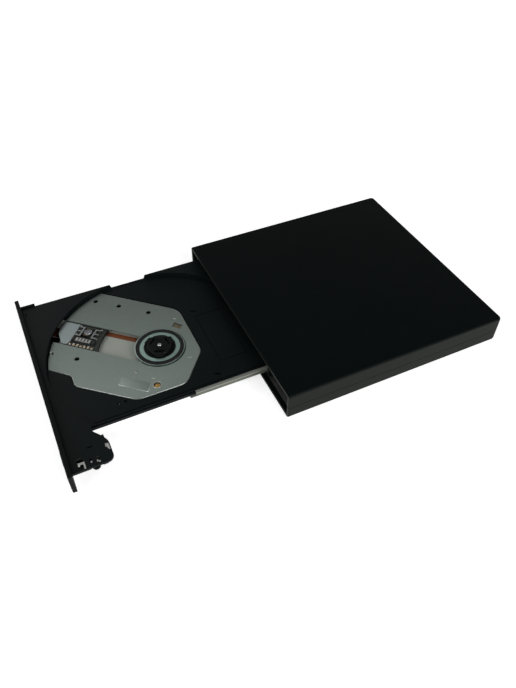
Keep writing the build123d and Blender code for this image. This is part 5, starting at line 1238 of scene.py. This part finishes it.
@dataclass(frozen=True)
class Electronics:
    """Pins, contacts and small components on the boards and in the sockets."""

    def build(self) -> None:
        """Makes every piece."""
        self.chip_pins("main_chips", "main_chip_pins", 13, "main_board")
        self.chip_pins("bridge_chip", "bridge_chip_pins", 5, "bridge_board")
        self.components()
        self.contacts()

    @staticmethod
    def chip_pins(node: str, name: str, count: int, host: str) -> None:
        """A row of pins along both long sides of a chip or of a run of chips."""
        low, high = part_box(node)
        reach = (high.y - low.y) * 0.9
        step = Vector((0.0, reach / (count - 1), 0.0))
        start = Vector((low.x, (low.y + high.y - reach) / 2, low.z + 0.15 * MM))
        across = Vector((high.x - low.x, 0.0, 0.0))
        BoxRow(name, count, start, step, (1.2, 0.35, 0.2), lines=2, line_step=across).make(
            Finishes.SOLDER, host
        )

    @staticmethod
    def components() -> None:
        """Small capacitors and resistors along the main board's left and right edges."""
        low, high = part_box("main_board")
        start = Vector((low.x + 2.2 * MM, low.y + 5 * MM, high.z + 0.3 * MM))
        across = Vector((high.x - low.x - 4.6 * MM, 0.0, 0.0))
        BoxRow("main_board_parts", 14, start, Vector((0, 4.6 * MM, 0)), (1.0, 1.8, 0.6), lines=2,
               line_step=across).make(Finishes.CERAMIC, "main_board")

    @staticmethod
    def contacts() -> None:
        """Contacts in the data socket, and pins behind the drive's plug."""
        low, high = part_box("usb_socket")
        middle = (low + high) / 2
        start = Vector((middle.x - 1.8 * MM, high.y - 3.2 * MM, middle.z - 0.46 * MM))
        BoxRow("usb_contacts", 5, start, Vector((0.9 * MM, 0, 0)), (0.4, 4.2, 0.12)).make(
            Finishes.GOLD, "usb_socket"
        )
        low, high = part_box("bridge_connector")
        start = Vector((low.x + 1.4 * MM, high.y + 0.5 * MM, low.z + 0.2 * MM))
        BoxRow("plug_pins", 13, start, Vector((1.1 * MM, 0, 0)), (0.4, 1.2, 0.2)).make(
            Finishes.GOLD, "bridge_connector"
        )


@dataclass(frozen=True)
class MovingMetal:
    """The ejector's spring as wound wire, and the lead screw's thread.

    A coil's last three numbers are its radius and wire radius in millimetres, and its turns.
    """

    spring: Size = (1.66, 0.17, 22.0)
    spring_end: float = 0.2
    thread: Size = (0.74, 0.11, 52.0)
    thread_start: Size = (11.0, -18.6, 4.9)
    thread_length: float = 42.0

    def build(self) -> None:
        """Makes both."""
        low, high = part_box("ejector_spring")
        middle = (low + high) / 2
        start = Vector((middle.x, low.y + self.spring_end * MM, middle.z))
        reach = (high.y - low.y) / MM - 2 * self.spring_end
        coil = WireCoil("ejector_coil", start, Vector((0, 1, 0)), reach, *self.spring)
        coil.make(Finishes.ROD, "ejector_spring", ("ejector_spring",))
        start = WAY.at(*self.thread_start)
        thread = WireCoil("screw_thread", start, WAY.out, self.thread_length, *self.thread)
        thread.make(Finishes.ROD, "lead_screw")


@dataclass(frozen=True)
class Studio:
    """Pale sweep of floor and wall, soft lamps and the camera.

    A lamp has a name, a place, a power in watts and a side in metres.
    """

    camera_place: Size = (0.23180, -0.16376, 0.25441)
    camera_right: Size = (0.42871238, 0.90341989, 0.00618106)
    camera_down: Size = (0.65481501, -0.30601028, -0.69106802)
    camera_ahead: Size = (-0.62243313, 0.30031687, -0.72276329)
    lamps: tuple[tuple[str, Size, float, float], ...] = (
        ("key_box", (1.1, 0.35, 0.75), 9.0, 0.7),
        ("fill_box", (0.45, -1.1, 0.6), 5.0, 0.8),
        ("back_box", (-0.9, -0.5, 0.9), 3.0, 0.9),
    )
    focal_length: float = 32.433
    sensor_width: float = 36.0
    floor_radius: float = 4.0
    cove_radius: float = 1.0
    wall_height: float = 1.4
    sweep_colour: Colour = (0.86, 0.86, 0.86)
    near_lift: float = 0.68
    near_reach: tuple[float, float] = (0.35, 1.6)
    sky_strength: float = 0.12

    def sweep_line(self) -> list[tuple[float, float]]:
        """The sweep's profile as (radius, height) pairs: floor, cove and wall."""
        line = [(0.0, 0.0), (0.5, 0.0), (1.5, 0.0), (self.floor_radius, 0.0)]
        for step in range(1, 9):
            turn = math.radians(90) * step / 8
            line.append((self.floor_radius + self.cove_radius * math.sin(turn),
                         self.cove_radius * (1 - math.cos(turn))))
        line.append((self.floor_radius + self.cove_radius, self.wall_height))
        return line

    def sweep(self) -> None:
        """Lays the floor at the height of the feet, with a wall round it."""
        shape = bmesh.new()
        low = CAD_BOX[0].z
        profile = [shape.verts.new((radius, 0.0, low + height)) for radius, height in self.sweep_line()]
        edges = [shape.edges.new(pair) for pair in zip(profile, profile[1:])]
        bmesh.ops.spin(
            shape, geom=profile + edges, cent=(0, 0, 0), axis=(0, 0, 1), angle=math.tau, steps=64
        )
        bmesh.ops.remove_doubles(shape, verts=shape.verts, dist=1e-5)
        bmesh.ops.recalc_face_normals(shape, faces=shape.faces)
        if max(shape.faces, key=lambda face: -face.calc_center_median().z).normal.z < 0:
            bmesh.ops.reverse_faces(shape, faces=shape.faces)
        for face in shape.faces:
            face.smooth = True
        mesh = bpy.data.meshes.new("pale_sweep")
        shape.to_mesh(mesh)
        shape.free()
        mesh.materials.append(self.sweep_material())
        put("pale_sweep", mesh)

    def sweep_material(self) -> bpy.types.Material:
        """Matt white that camera, gloss and glass see as white, apart from the object's shadow."""
        material = bpy.data.materials.new("pale_sweep")
        paint = blank_tree(material)
        place = paint.place()
        mottle = paint.noise(place, 0.4, 2.0)
        colour = paint.mix(mottle, shade(self.sweep_colour, 0.99), shade(self.sweep_colour, 1.01))
        matt = paint.principled(colour, 0.9, Specular_IOR_Level=0.1)
        far = paint.ramp(paint.vector("LENGTH", place), *self.near_reach)
        strength = self.near_lift + (1 - self.near_lift) * far
        glow = paint.node("ShaderNodeEmission", inputs={"Color": (1.0, 1.0, 1.0), "Strength": strength})
        unlit = paint.node("ShaderNodeEmission", inputs={"Color": (0.0, 0.0, 0.0)})
        lift = paint.node("ShaderNodeMixShader", inputs={0: self.seen(paint), 1: unlit, 2: glow})
        both = paint.node("ShaderNodeAddShader", inputs={0: matt, 1: lift})
        paint.node("ShaderNodeOutputMaterial", inputs={"Surface": both})
        return material

    @staticmethod
    def seen(paint: Paint) -> Signal:
        """1 for rays from the camera, from gloss and through glass, else 0."""
        kinds = ["Is Camera Ray", "Is Glossy Ray", "Is Transmission Ray"]
        rays = [paint.node("ShaderNodeLightPath", output=kind) for kind in kinds]
        return rays[0] + rays[1] + rays[2] > 0.5

    def sky(self) -> None:
        """A dim even ceiling, as a studio has above its white sweep."""
        world = bpy.data.worlds.new("studio_ceiling")
        bpy.context.scene.world = world
        paint = blank_tree(world)
        white = {"Color": (1.0, 1.0, 1.0), "Strength": self.sky_strength}
        light = paint.node("ShaderNodeBackground", inputs=white)
        paint.node("ShaderNodeOutputWorld", inputs={"Surface": light})

    @staticmethod
    def lamp(name: str, place: Point, target: Point, power: float, size: float) -> None:
        """Hangs one square softbox.

        Args:
            name: The lamp's name.
            place: Where it hangs.
            target: What it points at.
            power: Its power in watts.
            size: Its side in metres.
        """
        data = bpy.data.lights.new(name, "AREA")
        data.energy = power
        data.shape = "SQUARE"
        data.size = size
        lamp = put(name, data)
        lamp.location = place
        lamp.rotation_mode = "QUATERNION"
        lamp.rotation_quaternion = (Vector(target) - Vector(place)).to_track_quat("-Z", "Y")

    def camera(self) -> None:
        """Puts the camera where the photograph was taken from."""
        data = bpy.data.cameras.new("photo_camera")
        data.lens = self.focal_length
        data.sensor_width = self.sensor_width
        data.clip_start, data.clip_end = 0.01, 50.0
        camera = put("photo_camera", data)
        rows = (Vector(self.camera_right), -Vector(self.camera_down), -Vector(self.camera_ahead))
        turn = Matrix(rows).transposed().to_4x4()
        camera.matrix_world = Matrix.Translation(self.camera_place) @ turn
        bpy.context.scene.camera = camera

    def build(self) -> None:
        """Sets up the whole studio."""
        for left_over in [o for o in bpy.data.objects if o.name in ("Cube", "Light", "Camera")]:
            bpy.data.objects.remove(left_over)
        self.sweep()
        self.sky()
        self.camera()
        middle = (CAD_BOX[0] + CAD_BOX[1]) / 2
        for name, place, power, size in self.lamps:
            self.lamp(name, place, middle, power, size)
        bpy.context.scene.view_settings.view_transform = "Standard"


def main() -> None:
    """Builds every sub-assembly in order and reports the pieces."""
    logging.basicConfig(level=logging.INFO, format="%(message)s")
    Studio().build()
    dress_nodes()
    for unit in (TraversePlate(), SpindleUnit(), PickupUnit(), Electronics(), MovingMetal()):
        unit.build()


if __name__ == "__main__":
    main()
